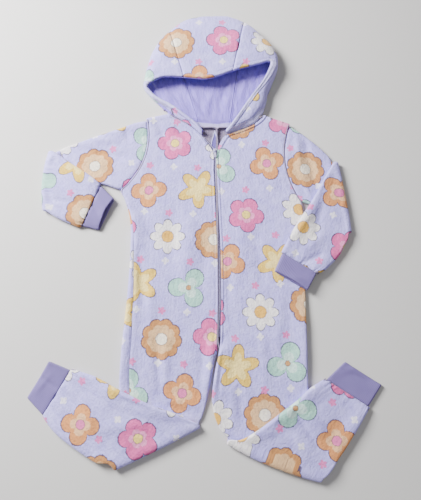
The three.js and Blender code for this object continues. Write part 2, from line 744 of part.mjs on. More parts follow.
// Joins two closed geometries into one
function join(first, second) {
  const [a, b] = [first, second].map((geometry) => {
    geometry.deleteAttribute('normal');
    geometry.deleteAttribute('uv');
    const merged = mergeVertices(geometry, 1e-4);
    const mesh = new wasm.Mesh({
      numProp: 3,
      vertProperties: merged.attributes.position.array,
      triVerts: new Uint32Array(merged.index.array),
    });
    return new wasm.Manifold(mesh);
  });
  const mesh = a.add(b).getMesh();
  const geometry = new THREE.BufferGeometry();
  geometry.setAttribute('position', new THREE.BufferAttribute(mesh.vertProperties, 3));
  geometry.setIndex(new THREE.BufferAttribute(mesh.triVerts, 1));
  return geometry;
}

function outlineOf(points) {
  return new THREE.Shape(points.map(([x, y]) => new THREE.Vector2(x, y)));
}

// The slider's plate is broad where the two sides of the zip part. A bridge over it holds
// the pull.
function slider() {
  const end = SLIDER_LENGTH / 2;
  const plate = outlineOf([
    [-3.2, -end], [3.2, -end], [4.6, end - 2], [2.6, end], [-2.6, end], [-4.6, end - 2],
  ]);
  const base = new THREE.ExtrudeGeometry(plate, { depth: SLIDER_PLATE, bevelEnabled: false });
  const { half, height, bar, width } = BRIDGE;
  const arch = outlineOf([
    [-half, -0.5], [-half + bar, -0.5], [-half + bar, height - bar], [half - bar, height - bar],
    [half - bar, -0.5], [half, -0.5], [half, height - 1], [half - 1, height], [1 - half, height],
    [-half, height - 1],
  ]);
  const bridge = new THREE.ExtrudeGeometry(arch, { depth: width, bevelEnabled: false });
  bridge.rotateX(Math.PI / 2);
  bridge.rotateZ(Math.PI / 2);
  bridge.translate(-width / 2, 0, SLIDER_PLATE);
  const geometry = join(base, bridge);
  geometry.translate(zipX(SLIDER_Y), SLIDER_Y, SLIDER_BASE);
  return geometry;
}

// The pull lies along the zip. Its bar passes under the bridge, and its far end is an eye.
function pull() {
  const { length, thick, half, slot, slotEnd, bar, ring, eye } = PULL;
  const centre = ring - length;
  const outline = outlineOf([[half, bar], [-half, bar], [-half, -slotEnd - 1]]);
  outline.absarc(0, centre, ring, Math.PI * 0.8, Math.PI * 2.2, false);
  outline.lineTo(half, -slotEnd - 1);
  outline.holes.push(outlineOf([[-slot, -bar], [slot, -bar], [slot, -slotEnd], [-slot, -slotEnd]]));
  const hole = new THREE.Path();
  hole.absarc(0, centre, eye, 0, Math.PI * 2, true);
  outline.holes.push(hole);
  const extrusion = { depth: thick, bevelEnabled: false, curveSegments: 12 };
  const geometry = new THREE.ExtrudeGeometry(outline, extrusion);
  geometry.translate(0, 0, -thick / 2);
  return geometry;
}

const onesie = new THREE.Group();
const flat = new THREE.Group();
onesie.add(flat);

for (const side of ['left', 'right']) {
  const rows = bodyRows(side);
  flat.add(named(`front_${side}`, bodyPanel(rows, true, 12), LILAC, 0.95));
  flat.add(named(`back_${side}`, bodyPanel(rows, false, 13), LILAC, 0.95));
  flat.add(named(`sleeve_${side}`, sleeve(side), LILAC, 0.95));
  flat.add(named(`zip_tape_${side}`, tape(side), ZIP_GREY, 0.8));
}
for (const values of CUFFS) flat.add(named(values.name, cuff(values), LILAC_RIB, 0.9));
flat.add(hoodPanels());
flat.add(named('zip_coil', coil(), ZIP_GREY, 0.6));
flat.add(named('zip_guard', guard(), LILAC_LINING, 0.9));
flat.add(named('zip_slider', slider(), ZIP_GREY, 0.4, 0.6));
const pullTab = named('zip_pull', pull(), ZIP_GREY, 0.4, 0.6);
pullTab.position.set(zipX(SLIDER_Y), SLIDER_Y, PULL_AXIS);
flat.add(pullTab);

const box = new THREE.Box3().setFromObject(flat);
flat.position.set(-(box.min.x + box.max.x) / 2, -(box.min.y + box.max.y) / 2, -box.min.z);

export default onesie;
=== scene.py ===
"""A child's hooded onesie pajama of plush fleece, laid flat on its back.

Left and right are the viewer's, looking down on the front. Sizes in the tables are
millimetres in the cutter's own frame, which SHIFT moves to the frame of the part.
"""
import logging
import math
from dataclasses import dataclass, replace
from enum import Enum
from typing import Any, Callable, Iterable, Optional, Sequence

import bmesh
import bpy
import numpy as np
from mathutils import Matrix, Vector, noise


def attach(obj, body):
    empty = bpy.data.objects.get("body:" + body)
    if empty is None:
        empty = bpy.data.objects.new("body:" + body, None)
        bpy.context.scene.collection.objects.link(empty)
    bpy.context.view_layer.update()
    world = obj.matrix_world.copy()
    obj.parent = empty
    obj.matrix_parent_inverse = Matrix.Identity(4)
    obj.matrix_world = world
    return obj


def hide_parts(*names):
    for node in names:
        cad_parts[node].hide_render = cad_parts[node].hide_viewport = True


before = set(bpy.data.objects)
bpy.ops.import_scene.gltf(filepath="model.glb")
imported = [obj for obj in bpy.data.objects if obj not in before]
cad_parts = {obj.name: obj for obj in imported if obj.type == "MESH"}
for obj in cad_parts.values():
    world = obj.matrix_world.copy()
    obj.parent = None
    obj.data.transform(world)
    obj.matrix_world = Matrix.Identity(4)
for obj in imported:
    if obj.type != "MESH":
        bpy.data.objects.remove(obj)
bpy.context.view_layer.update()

LOG = logging.getLogger("onesie")

Colour = tuple[float, float, float]
Place = tuple[float, float, float]
StitchLine = Sequence[tuple[Vector, Vector]]

MM = 0.001
MERGE = 0.0002  # metres within which a closed tube's two edges become one
SHIFT = (12.0570068, -48.9678040)  # from the cutter's frame to the part's

FLEECE = 2.4         # wall of the printed plush
LINING = 2.0         # wall of the hood's plain plush lining
RIB = 1.9            # wall of the knitted cuffs
LAYERS = 0.7         # space between the hood's two layers
ARMHOLE_SEAM = 0.15  # how far the body stops short of the armhole's line
PRESSED = 6.2        # height of two layers pressed flat inside a fold
TURN = 7.0           # outer radius of a limb's turn at its fold
TURN_STEP = 36       # degrees from row to row round that turn
EDGE_REACH = 34.0    # how far a plump side edge takes to settle to the middle height
SHOULDER = 12.0      # height of the rounded shoulder
SHOULDER_CAP = (2.5, 24, 46, 68)  # degrees of the rows that round it
TRUNK = 8.4          # height of the body's two layers, away from its sides
ZIP_HALF = 3.4       # half the slit between the fronts, over the teeth
BACK_SEAM_X = 15.0   # where the centre back seam runs
NEAR_EDGE = 0.1      # how much a row's points crowd towards its ends
PITCH = 3.2          # spacing of a fine mesh row

HELD = 0.55          # share of a crease that shows where the cloth is pressed flat
LOOSE_RISE = 1.2     # how far above pressed the cloth is fully free
FREE_REACH = 16.0    # how far in from a tube's edge creases take to reach their height
CREASE_END = 0.2     # how far into its rise and fall a crease starts and ends
FOLD_DEPTH = 1.45    # how much deeper the creases lie than their tables say
HILL, HILL_HEIGHT = 46.0, 1.2      # spacing and height of the loose cloth's hills
RIPPLE, RIPPLE_HEIGHT = 17.0, 0.6  # the same for the finer ones


class Side(Enum):
    """The viewer's left or right."""

    LEFT = "left"
    RIGHT = "right"

    @property
    def sign(self) -> int:
        """-1 on the left, 1 on the right."""
        return -1 if self is Side.LEFT else 1


class Edge(Enum):
    """One of the four edges of a panel's grid."""

    FIRST_ROW = 0
    LAST_ROW = 1
    FIRST_COLUMN = 2
    LAST_COLUMN = 3


def mix(a: float, b: float, t: float) -> float:
    """Return the value at t between a and b."""
    return a + (b - a) * t


def smooth(t: Any) -> Any:
    """Return an S-curve from 0 to 1, for a number or an array."""
    x = np.clip(t, 0.0, 1.0)
    return x * x * (3 - 2 * x)


def spread(count: int) -> np.ndarray:
    """Return places from 0 to 1 that crowd a little towards both ends."""
    t = np.linspace(0.0, 1.0, count + 1)
    return t - NEAR_EDGE * np.sin(2 * np.pi * t)


def tone(red: int, green: int, blue: int) -> Colour:
    """Return a shader colour from the 0 to 255 values of a screen colour."""
    def linear(value: int) -> float:
        """Return one channel in linear light."""
        c = value / 255
        return c / 12.92 if c <= 0.04045 else ((c + 0.055) / 1.055) ** 2.4

    return linear(red), linear(green), linear(blue)


# Folds


@dataclass(frozen=True)
class Crease:
    """A soft ridge or trough of the cloth, from x0, y0 to x1, y1."""

    x0: float
    y0: float
    x1: float
    y1: float
    height: float
    width: float

    def lift(self, x: np.ndarray, y: np.ndarray) -> np.ndarray:
        """Return how far the cloth stands up at each place.

        Args:
            x: places across, in the cutter's frame.
            y: places along.

        Returns:
            The heights in millimetres.
        """
        dx, dy = self.x1 - self.x0, self.y1 - self.y0
        t = np.clip(((x - self.x0) * dx + (y - self.y0) * dy) / (dx * dx + dy * dy), 0, 1)
        away = np.hypot(x - self.x0 - t * dx, y - self.y0 - t * dy)
        fade = np.sin(np.pi * (CREASE_END + (1 - 2 * CREASE_END) * t))
        return self.height * fade * np.exp(-((away / self.width) ** 2))


BODY_FOLDS = tuple(Crease(*row) for row in (
    (-123, 297, -104, 262, -2.4, 8), (-79, 284, -54, 260, -2.2, 7), (-96, 317, -47, 277, 1.8, 7),
    (193, 126, 175, 168, -2.4, 7), (-43, 61, -59, -76, 2, 15), (-81, 84, -88, -28, -1.8, 13),
    (-10, 30, -20, -93, -1.6, 12), (61, 75, 73, -28, 1.6, 15), (100, 30, 111, -72, -1.6, 14),
    (-156, -6, -144, -115, -2.4, 9), (-126, -72, -128, -173, 1.6, 11),
    (34, -28, 41, -148, -1.4, 13), (153, -110, 137, -219, 1.4, 13),
    (-114, -198, -104, -303, -2.4, 8), (-91, -190, -94, -275, 1.7, 9), (5, -198, 3, -291, 2.2, 8),
    (-16, -215, -22, -303, -2.2, 8), (-79, -327, -46, -344, -3.6, 6),
    (-56, -348, -36, -361, -3.2, 5), (-71, -313, -32, -329, 2.6, 6), (59, -295, 68, -358, -2.6, 8),
    (42, -299, 48, -365, 2.2, 8), (24, -219, 13, -315, -2.2, 7), (108, -194, 114, -283, 1.6, 12),
    (173, -339, 215, -402, -2.8, 7), (122, -350, 162, -377, -2, 8), (188, -329, 228, -373, 2.2, 9),
    (143, -379, 190, -413, 1.6, 9), (-305, -296, -275, -331, -2.6, 6),
    (-258, -310, -239, -360, 1.6, 10), (-188, -308, -123, -331, -1.8, 9),
    (-214, -368, -138, -360, 1.6, 12),
))

SLEEVE_FOLDS = tuple(Crease(*row) for row in (
    (-197, 279, -187, 257, -2.8, 6), (-309, 240, -251, 223, -2.6, 9),
    (-256, 223, -192, 213, -2.6, 9), (-348, 231, -333, 207, -4, 4),
    (-335, 209, -300, 185, -3.4, 4.5), (-364, 202, -341, 234, 2.6, 7),
    (-271, 260, -216, 250, 2, 9), (-362, 114, -302, 103, -1.9, 6), (-336, 154, -303, 117, 1.6, 9),
    (-372, 161, -355, 110, -1.4, 7), (214, 260, 224, 226, -2.4, 7), (196, 270, 203, 206, 1.6, 6),
    (210, 149, 224, 117, 2.2, 6), (218, 230, 241, 135, -2.4, 9), (195, 230, 208, 168, 1.8, 8),
    (195, -34, 237, -14, -2.4, 7), (187, 37, 224, 91, 1.8, 9), (246, 96, 230, 24, -1.8, 9),
    (205, -3, 243, 28, 1.6, 8),
))

LINING_FOLDS = tuple(Crease(*row) for row in (
    (39, 413, 22, 341, -2.4, 6), (4, 377, -10, 326, 2.6, 7), (48, 387, 36, 326, 2.4, 7),
    (-63, 407, -41, 366, -2.2, 4), (-77, 413, -48, 361, 2.4, 6), (-48, 361, -17, 306, 2.2, 5),
    (63, 431, 93, 397, -2.2, 5), (107, 405, 118, 449, -2.4, 4), (86, 418, 69, 356, 2.2, 6),
    (-119, 377, -57, 326, 2, 9), (-105, 402, -71, 346, -1.6, 8),
))


def unevenness(cloth: np.ndarray, seed: float) -> np.ndarray:
    """Return the soft hills of a plush cloth that lies loose.

    Args:
        cloth: the places on the flat cloth, in millimetres, two to a point.
        seed: sets one panel's hills apart from another's.

    Returns:
        Heights in millimetres, on both sides of 0.
    """
    heights = np.empty(cloth.shape[:-1])
    for at in np.ndindex(heights.shape):
        x, y = cloth[at]
        broad = noise.noise(Vector((x / HILL, y / HILL, seed)))
        narrow = noise.noise(Vector((x / RIPPLE, y / RIPPLE, seed + 7)))
        heights[at] = HILL_HEIGHT * broad + RIPPLE_HEIGHT * narrow
    return heights


# Flat tubes


@dataclass
class LimbFold:
    """Where a limb folds back over itself, along its outermost line from A to B."""

    ax: float
    ay: float
    bx: float
    by: float
    bow: float
    side: int

    def __post_init__(self) -> None:
        """Work out the direction that the fold points in, and its base line."""
        length = math.hypot(self.bx - self.ax, self.by - self.ay)
        across, along = (self.bx - self.ax) / length, (self.by - self.ay) / length
        self.out = (self.side * along, -self.side * across)
        self.base = (self.ax - TURN * self.out[0], self.ay - TURN * self.out[1])

    def rows(self) -> list["Row"]:
        """Return the rows round the turn."""
        far = (self.bx - TURN * self.out[0], self.by - TURN * self.out[1])
        return [
            Row(*self.base, *far, bow=self.bow, mid=PRESSED, edge_a=PRESSED, edge_b=PRESSED,
                turn=turn, out_x=self.out[0], out_y=self.out[1], fold=self)
            for turn in range(0, 181, TURN_STEP)
        ]

    def unfold(self, x: float, y: float) -> tuple[float, float]:
        """Return where a place past the fold lies on the flat cloth."""
        away = (x - self.base[0]) * self.out[0] + (y - self.base[1]) * self.out[1]
        step = math.pi * TURN - 2 * away
        return x + step * self.out[0], y + step * self.out[1]


@dataclass
class Row:
    """A section across a flat tube, from edge A to edge B in plan.

    Attributes:
        ax, ay, bx, by: the edges' outermost points.
        mid, edge_a, edge_b: the tube's height in its middle and at its edges.
        lift_a, lift_b: how far each edge is raised, past a fold.
        bow: how far the row bends out of straight.
        turn: degrees round the limb's fold.
        round_a, round_b: 1 for a rounded edge, 0 for a flat open one.
        cap: degrees round the shoulder's top, 90 below it.
        out_x, out_y: where a fold or the shoulder points.
        seam_in: how far in from edge A the side seam lies.
        inner: edge B of the front layer, where it isn't the back's.
        fold: the fold that the row lies round or past.
    """

    ax: float
    ay: float
    bx: float
    by: float
    mid: float = 8.0
    edge_a: float = 13.0
    edge_b: float = 13.0
    lift_a: float = 0.0
    lift_b: float = 0.0
    bow: float = 0.0
    turn: float = 0.0
    round_a: float = 1.0
    round_b: float = 1.0
    cap: float = 90.0
    out_x: float = 0.0
    out_y: float = 0.0
    seam_in: float = 0.0
    inner: Optional[tuple[float, float]] = None
    fold: Optional[LimbFold] = None

    @property
    def width(self) -> float:
        """The distance from A to B."""
        return math.hypot(self.bx - self.ax, self.by - self.ay)

    @property
    def length(self) -> float:
        """The length of cloth from edge A to edge B."""
        extra = math.pi / 4 - 0.5
        return self.width + extra * (self.round_a * self.edge_a + self.round_b * self.edge_b)

    @staticmethod
    def edge_point(
        position: float, height: float, middle: float, rounding: float
    ) -> tuple[float, float]:
        """Return the section's line near an edge.

        Args:
            position: along the cloth from the outermost point, negative underneath.
            height: of the half round.
            middle: height that the upper layer settles to.
            rounding: 0 for a flat open edge, 1 for the full half round.

        Returns:
            The distance in from the edge, and the height.
        """
        r = height / 2
        quarter = r * math.pi / 2
        away = abs(position)
        upper = position >= 0
        s = r + away - quarter
        h = mix(height, middle, float(smooth((s - r) / EDGE_REACH))) if upper else 0.0
        if away < quarter:
            angle = position / r
            s = r * (1 - math.cos(angle))
            h = r * (1 + math.sin(angle))
        return mix(away, s, rounding), mix(middle if upper else 0.0, h, rounding)

    def line(self, position: float, upper: bool) -> tuple[float, float]:
        """Return the section's outer line at a position from edge A."""
        side = 1 if upper else -1
        total = self.length
        if position < total / 2:
            return self.edge_point(side * position, self.edge_a, self.mid, self.round_a)
        s, h = self.edge_point(side * (total - position), self.edge_b, self.mid, self.round_b)
        return self.width - s, h

    def sample(self, position: float, front: bool) -> tuple[float, ...]:
        """Return one point of the outer face.

        Args:
            position: along the cloth from edge A, negative on the other layer.
            front: True on the front layer, which is the upper one until the fold.

        Returns:
            x, y, z, then the place on the flat cloth, then how free the cloth is to crease.
        """
        flipped = self.turn > 90
        upper = front != flipped
        where = abs(position)
        if position < 0:
            upper = not upper
        s, h = self.line(where, upper)
        t = s / self.width
        ux, uy = (self.bx - self.ax) / self.width, (self.by - self.ay) / self.width
        side = self.bow * 4 * t * (1 - t)
        x = self.ax + ux * s - uy * side
        y = self.ay + uy * s + ux * side
        flat = self.flat_place(position, side, ux, uy)
        if self.cap < 90:
            radius = SHOULDER / 2
            angle = math.radians(self.cap)
            x += self.out_x * radius * math.cos(angle)
            y += self.out_y * radius * math.cos(angle)
            z = radius * (1 + (1 if upper else -1) * math.sin(angle))
            return x, y, z, *flat, 0.0
        inside = min(t, 1 - t) * self.width
        loose = mix(HELD, 1.0, float(smooth((self.mid - PRESSED) / LOOSE_RISE)))
        creased = upper and not 0 < self.turn < 180
        free = loose * float(smooth(inside / FREE_REACH)) if creased else 0.0
        if flipped:
            h = PRESSED - h
        angle = math.radians(self.turn)
        reach = TURN - h
        x += self.out_x * reach * math.sin(angle)
        y += self.out_y * reach * math.sin(angle)
        drop = (1 - t) ** 3 if self.lift_a < self.lift_b else 1 - t ** 3
        lift = mix(self.lift_b, self.lift_a, drop)
        return x, y, lift + TURN - reach * math.cos(angle), *flat, free

    def flat_place(
        self, position: float, side: float, ux: float, uy: float
    ) -> tuple[float, float]:
        """Return a position's place on the cloth before any limb was folded.

        The lower layer takes the upper one's chart, mirrored in edge A, so that a tube that
        bends or tapers keeps its print unstretched on both.
        """
        x = self.ax + ux * abs(position) - uy * side
        y = self.ay + uy * abs(position) + ux * side
        if self.fold is None:
            return x, y
        if self.out_x or self.out_y:
            arc = TURN * math.radians(self.turn)
            return x + arc * self.out_x, y + arc * self.out_y
        return self.fold.unfold(x, y)


@dataclass
class Surface:
    """A fine grid of points on one panel's outer face.

    Attributes:
        points: rows of columns of x, y, z in the cutter's millimetres.
        cloth: each point's place on the flat cloth.
        free: how free the cloth is to crease there, 0 to 1.
        facing: 1 where rows cross columns outwards, -1 where they face in.
    """

    points: np.ndarray
    cloth: np.ndarray
    free: np.ndarray
    facing: int = 1

    def normals(self) -> np.ndarray:
        """Return the outward direction at each point."""
        across = np.gradient(self.points, axis=1)
        along = np.gradient(self.points, axis=0)
        n = self.facing * np.cross(across, along)
        return n / np.maximum(np.linalg.norm(n, axis=2, keepdims=True), 1e-9)

    def cut(self, turn: float, right: float, up: float) -> None:
        """Turn and shift the panel on the printed cloth that it was cut from."""
        c, s = math.cos(math.radians(turn)), math.sin(math.radians(turn))
        self.cloth = self.cloth @ np.array([[c, s], [-s, c]]) + np.array([right, up])

    def distance(self, edge: Edge) -> np.ndarray:
        """Return each point's distance from one edge, along the cloth."""
        axis = 0 if edge in (Edge.FIRST_ROW, Edge.LAST_ROW) else 1
        steps = np.linalg.norm(np.diff(self.points, axis=axis), axis=2)
        start = np.zeros_like(steps[:1] if axis == 0 else steps[:, :1])
        gone = np.cumsum(np.concatenate([start, steps], axis=axis), axis=axis)
        if edge in (Edge.LAST_ROW, Edge.LAST_COLUMN):
            total = gone[-1:] if axis == 0 else gone[:, -1:]
            gone = total - gone
        return gone

    def move(self, heights: np.ndarray) -> None:
        """Move each point outwards by its height."""
        self.points = self.points + self.normals() * heights[..., None]

    def crease(self, creases: Sequence[Crease], seed: float) -> None:
        """Add the creases and the loose cloth's unevenness where the cloth is free."""
        x, y = self.points[..., 0], self.points[..., 1]
        heights = sum((c.lift(x, y) for c in creases), np.zeros(x.shape))
        self.move(self.free * (FOLD_DEPTH * heights + unevenness(self.cloth, seed)))

    def sew(self, edges: Iterable[Edge], depth: float = 1.5, width: float = 4.0) -> None:
        """Sink the cloth into the seam along some edges."""
        dip = np.zeros(self.points.shape[:2])
        for edge in edges:
            dip = np.maximum(dip, np.exp(-((self.distance(edge) / width) ** 2)))
        self.move(-depth * dip)

    def groove(self, edge: Edge, inset: Any, depth: Any, width: float) -> None:
        """Sink a line of sewing beside an edge. A depth below 0 raises a ridge."""
        self.move(-depth * np.exp(-(((self.distance(edge) - inset) / width) ** 2)))

    def gather(self, edge: Edge, waves: int, height: float, reach: float, seed: float) -> None:
        """Pucker the cloth towards an edge that is sewn to something shorter."""
        away = np.exp(-((self.distance(edge) / reach) ** 1.5))
        place = np.linspace(0, 1, self.points.shape[1])[None, :]
        wobble = np.array([noise.noise(Vector((waves * p * 0.6, seed, 3.0))) for p in place[0]])
        wave = np.sin(2 * np.pi * (waves * place + 1.3 * wobble[None, :]))
        self.move(height * away * wave)

    def path(self, edge: Edge, inset: Any) -> StitchLine:
        """Return points and outward directions on a line beside an edge.

        Args:
            edge: the edge that the line follows.
            inset: its distance in from the edge, one number or one for each step.

        Returns:
            Pairs of a point and the outward direction there, in the part's metres.
        """
        away = self.distance(edge)
        normals = self.normals()
        points = self.points
        if edge in (Edge.FIRST_ROW, Edge.LAST_ROW):
            away, normals, points = away.T, normals.transpose(1, 0, 2), points.transpose(1, 0, 2)
        insets = np.broadcast_to(inset, (len(points),))
        line = []
        for wanted, gone, place, out in zip(insets, away, points, normals):
            order = np.argsort(gone)
            at, outward = (
                [float(np.interp(wanted, gone[order], field[order, k])) for k in range(3)]
                for field in (place, out)
            )
            line.append((to_part(at), Vector(outward).normalized()))
        return line


def to_part(place: Sequence[float]) -> Vector:
    """Return a place of the cutter's frame in the part's metres."""
    return Vector(((place[0] + SHIFT[0]) * MM, (place[1] + SHIFT[1]) * MM, place[2] * MM))


def curve_point(start: Any, leaving: Any, end: Any, arriving: Any, t: float) -> Any:
    """Return a point of a smooth curve.

    Args:
        start: its first point.
        leaving: its direction there, as long as the curve's span.
        end: its last point.
        arriving: its direction there.
        t: the place on it, from 0 to 1.

    Returns:
        The point.
    """
    return (
        (2 * t ** 3 - 3 * t ** 2 + 1) * start + (t ** 3 - 2 * t ** 2 + t) * leaving
        + (3 * t ** 2 - 2 * t ** 3) * end + (t ** 3 - t ** 2) * arriving
    )


def between(rows: np.ndarray, pitch: float) -> np.ndarray:
    """Return smooth rows between the given ones.

    Args:
        rows: values of each row's columns, with x, y and z first.
        pitch: the spacing wanted, in millimetres.

    Returns:
        The finer rows.
    """
    steps = np.linalg.norm(np.diff(rows[:, :, :3], axis=0), axis=2)
    chord = np.maximum(steps, 0.02)[..., None]
    slope = np.diff(rows, axis=0) / chord
    tangent = np.empty_like(rows)
    joined = slope[1:] * chord[:-1] + slope[:-1] * chord[1:]
    tangent[1:-1] = joined / (chord[1:] + chord[:-1])
    tangent[0], tangent[-1] = slope[0], slope[-1]
    fine = []
    for i, span in enumerate(chord):
        count = max(1, round(float(span.mean()) / pitch))
        leaving, arriving = span * tangent[i], span * tangent[i + 1]
        ends = rows[i], leaving, rows[i + 1], arriving
        fine += [curve_point(*ends, k / count) for k in range(count)]
    fine.append(rows[-1])
    return np.array(fine)


def tube_surface(
    rows: Sequence[Row], front: bool, columns: int, ends: Callable[[Row], tuple[float, float]],
    facing: int,
) -> Surface:
    """Return the fine surface over some rows.

    Args:
        rows: the sections, in order down the limb.
        front: which layer the positions run over.
        columns: how many steps across.
        ends: gives the first and last position of a row.
        facing: the surface's facing.

    Returns:
        The surface.
    """
    coarse = []
    for row in rows:
        low, high = ends(row)
        coarse.append([row.sample(mix(low, high, t), front) for t in spread(columns)])
    fine = between(np.array(coarse), PITCH)
    return Surface(fine[..., :3], fine[..., 3:5], np.clip(fine[..., 5], 0, 1), facing)


# Shader nodes


class Shader:
    """A material's nodes, added one by one."""

    def __init__(self, name: str) -> None:
        """Start an empty material of this name."""
        self.material = bpy.data.materials.new(name)
        self.material.use_nodes = True
        self.tree = self.material.node_tree
        self.tree.nodes.clear()

    def node(
        self, kind: str, settings: Optional[dict[str, Any]] = None, **inputs: Any
    ) -> bpy.types.Node:
        """Add a node.

        Args:
            kind: the node's type.
            settings: its own settings. A ramp takes a list of stops, each a place and a colour.
            inputs: a value or a Wire for each socket, by its name with _ for a space, or as
                in0, in1 and so on by its place.

        Returns:
            The node.
        """
        node = self.tree.nodes.new(kind)
        for key, value in (settings or {}).items():
            if key == "stops":
                ramp = node.color_ramp
                while len(ramp.elements) < len(value):
                    ramp.elements.new(1.0)
                for element, (place, colour) in zip(ramp.elements, value):
                    element.position = place
                    element.color = (*colour, 1.0)
            elif key == "interpolation":
                node.color_ramp.interpolation = value
            else:
                setattr(node, key, value)
        for key, value in inputs.items():
            if key.startswith("in") and key[2:].isdigit():
                socket = node.inputs[int(key[2:])]
            else:
                socket = node.inputs[key.replace("_", " ")]
            self.feed(socket, value)
        return node

    def feed(self, socket: bpy.types.NodeSocket, value: Any) -> None:
        """Link a Wire to a socket, or set its value."""
        if isinstance(value, Wire):
            self.tree.links.new(value.socket, socket)
        elif socket.type == "RGBA" and len(value) == 3:
            socket.default_value = (*value, 1.0)
        else:
            socket.default_value = value

    def wire(
        self, kind: str, settings: Optional[dict[str, Any]] = None, out: Any = 0, **inputs: Any
    ) -> "Wire":
        """Add a node and return one of its outputs."""
        return Wire(self, self.node(kind, settings, **inputs).outputs[out])

    def wires(
        self, kind: str, settings: Optional[dict[str, Any]] = None, **inputs: Any
    ) -> list["Wire"]:
        """Add a node and return all its outputs."""
        return [Wire(self, out) for out in self.node(kind, settings, **inputs).outputs]

    def maths(self, operation: str, *values: Any) -> "Wire":
        """Add a Math node on some values."""
        inputs = {f"in{i}": v for i, v in enumerate(values)}
        return self.wire("ShaderNodeMath", {"operation": operation}, 0, **inputs)

    def cloth_place(self) -> tuple["Wire", "Wire", "Wire"]:
        """Return the place on the flat cloth in metres, as a vector and as x and y."""
        place = self.wire("ShaderNodeUVMap", {"uv_map": "cloth"})
        x, y, _ = self.wires("ShaderNodeSeparateXYZ", in0=place)
        return place, x, y

    def noise(self, place: "Wire", scale: float, detail: float = 2.0, rough: float = 0.5) -> "Wire":
        """Return soft noise around 0.5 at a scale in waves to the metre."""
        return self.wire(
            "ShaderNodeTexNoise", None, 0, Vector=place, Scale=scale, Detail=detail,
            Roughness=rough)

    def blend(self, low: Any, high: Any, part: Any, how: str = "MIX") -> "Wire":
        """Return a colour between two others."""
        settings = {"data_type": "RGBA", "blend_type": how}
        return self.wire("ShaderNodeMix", settings, 2, in0=part, in6=low, in7=high)

    def finish(
        self, colour: Any, roughness: Any, bump: Optional["Wire"] = None, depth: float = 0.001,
        **plain: Any,
    ) -> bpy.types.Material:
        """Close the material with its surface shader.

        Args:
            colour: the base colour.
            roughness: the roughness.
            bump: the height of the relief, from 0 to 1.
            depth: the relief's full depth in metres.
            plain: other sockets of the surface shader, as plain values.

        Returns:
            The material.
        """
        surface = self.node(
            "ShaderNodeBsdfPrincipled", Base_Color=colour, Roughness=roughness, **plain)
        if bump is not None:
            normal = self.wire("ShaderNodeBump", None, 0, Height=bump, Distance=depth, Strength=1.0)
            self.feed(surface.inputs["Normal"], normal)
        out = self.node("ShaderNodeOutputMaterial")
        self.tree.links.new(surface.outputs[0], out.inputs[0])
        return self.material


class Wire:
    """A shader value that takes arithmetic, each step adding its Math node."""

    def __init__(self, shader: Shader, socket: bpy.types.NodeSocket) -> None:
        """Hold an output socket."""
        self.shader = shader
        self.socket = socket

    def __add__(self, other: Any) -> "Wire":
        """Add."""
        return self.shader.maths("ADD", self, other)

    __radd__ = __add__

    def __sub__(self, other: Any) -> "Wire":
        """Take away."""
        return self.shader.maths("SUBTRACT", self, other)

    def __rsub__(self, other: Any) -> "Wire":
        """Take this away from a number."""
        return self.shader.maths("SUBTRACT", other, self)

    def __mul__(self, other: Any) -> "Wire":
        """Multiply."""
        return self.shader.maths("MULTIPLY", self, other)

    __rmul__ = __mul__

    def __truediv__(self, other: Any) -> "Wire":
        """Divide."""
        return self.shader.maths("DIVIDE", self, other)

    def __rtruediv__(self, other: Any) -> "Wire":
        """Divide a number by this."""
        return self.shader.maths("DIVIDE", other, self)

    def __pow__(self, other: Any) -> "Wire":
        """Raise to a power."""
        return self.shader.maths("POWER", self, other)

    def __rpow__(self, other: Any) -> "Wire":
        """Raise a number to this power."""
        return self.shader.maths("POWER", other, self)

    def __abs__(self) -> "Wire":
        """Return the size without the sign."""
        return self.shader.maths("ABSOLUTE", self)

    def floor(self) -> "Wire":
        """Return the whole number below."""
        return self.shader.maths("FLOOR", self)

    def cosine(self) -> "Wire":
        """Return the cosine."""
        return self.shader.maths("COSINE", self)

    def inside(self, soft: float) -> "Wire":
        """Return 1 where this is below 0 and 0 above, with a soft step between."""
        settings = {"interpolation_type": "SMOOTHSTEP"}
        return self.shader.wire(
            "ShaderNodeMapRange", settings, 0, in0=self, in1=-soft, in2=soft, in3=1.0, in4=0.0)


# Finishes


@dataclass(frozen=True)
class Motif:
    """One printed flower, leaf or large star, as lobes round a centre.

    Attributes:
        radius: to the lobes' tips, in cells.
        depth: how far the edge dips between the lobes, as a share of the radius.
        point: below 1 for round lobes, above 1 for pointed ones.
        lobes: how many there are.
        inner: the middle's size, as a share of the whole.
        centre: the eye's radius, in cells.
        fill, middle, eye: the three colours.
    """

    radius: float
    depth: float
    point: float
    lobes: int
    inner: float
    centre: float
    fill: Colour
    middle: Colour
    eye: Colour


MOTIFS = (
    Motif(0.400, 0.14, 0.70, 9, 0.70, 0.115,
          tone(200, 140, 84), tone(226, 184, 134), tone(250, 240, 216)),
    Motif(0.430, 0.50, 1.50, 5, 0.62, 0.0,
          tone(236, 196, 92), tone(250, 224, 140), tone(250, 224, 140)),
    Motif(0.370, 0.34, 0.60, 5, 0.48, 0.090,
          tone(226, 104, 164), tone(242, 150, 194), tone(250, 222, 120)),
    Motif(0.410, 0.72, 0.80, 3, 0.52, 0.050,
          tone(166, 214, 196), tone(206, 236, 222), tone(214, 160, 104)),
    Motif(0.360, 0.36, 0.70, 8, 0.40, 0.120,
          tone(250, 244, 240), tone(250, 232, 238), tone(240, 186, 84)),
    Motif(0.370, 0.42, 0.75, 4, 0.55, 0.090,
          tone(222, 150, 92), tone(240, 190, 140), tone(232, 120, 172)),
)


@dataclass(frozen=True)
class Star:
    """The small stars between the motifs, one to a cell. The radius is in cells."""

    shift: tuple[float, float]
    fill: Colour
    points: int
    radius: float


STARS = (
    Star((0.5, 0.5), tone(232, 118, 178), 5, 0.082),
    Star((0.0, 0.5), tone(246, 240, 250), 4, 0.075),
)


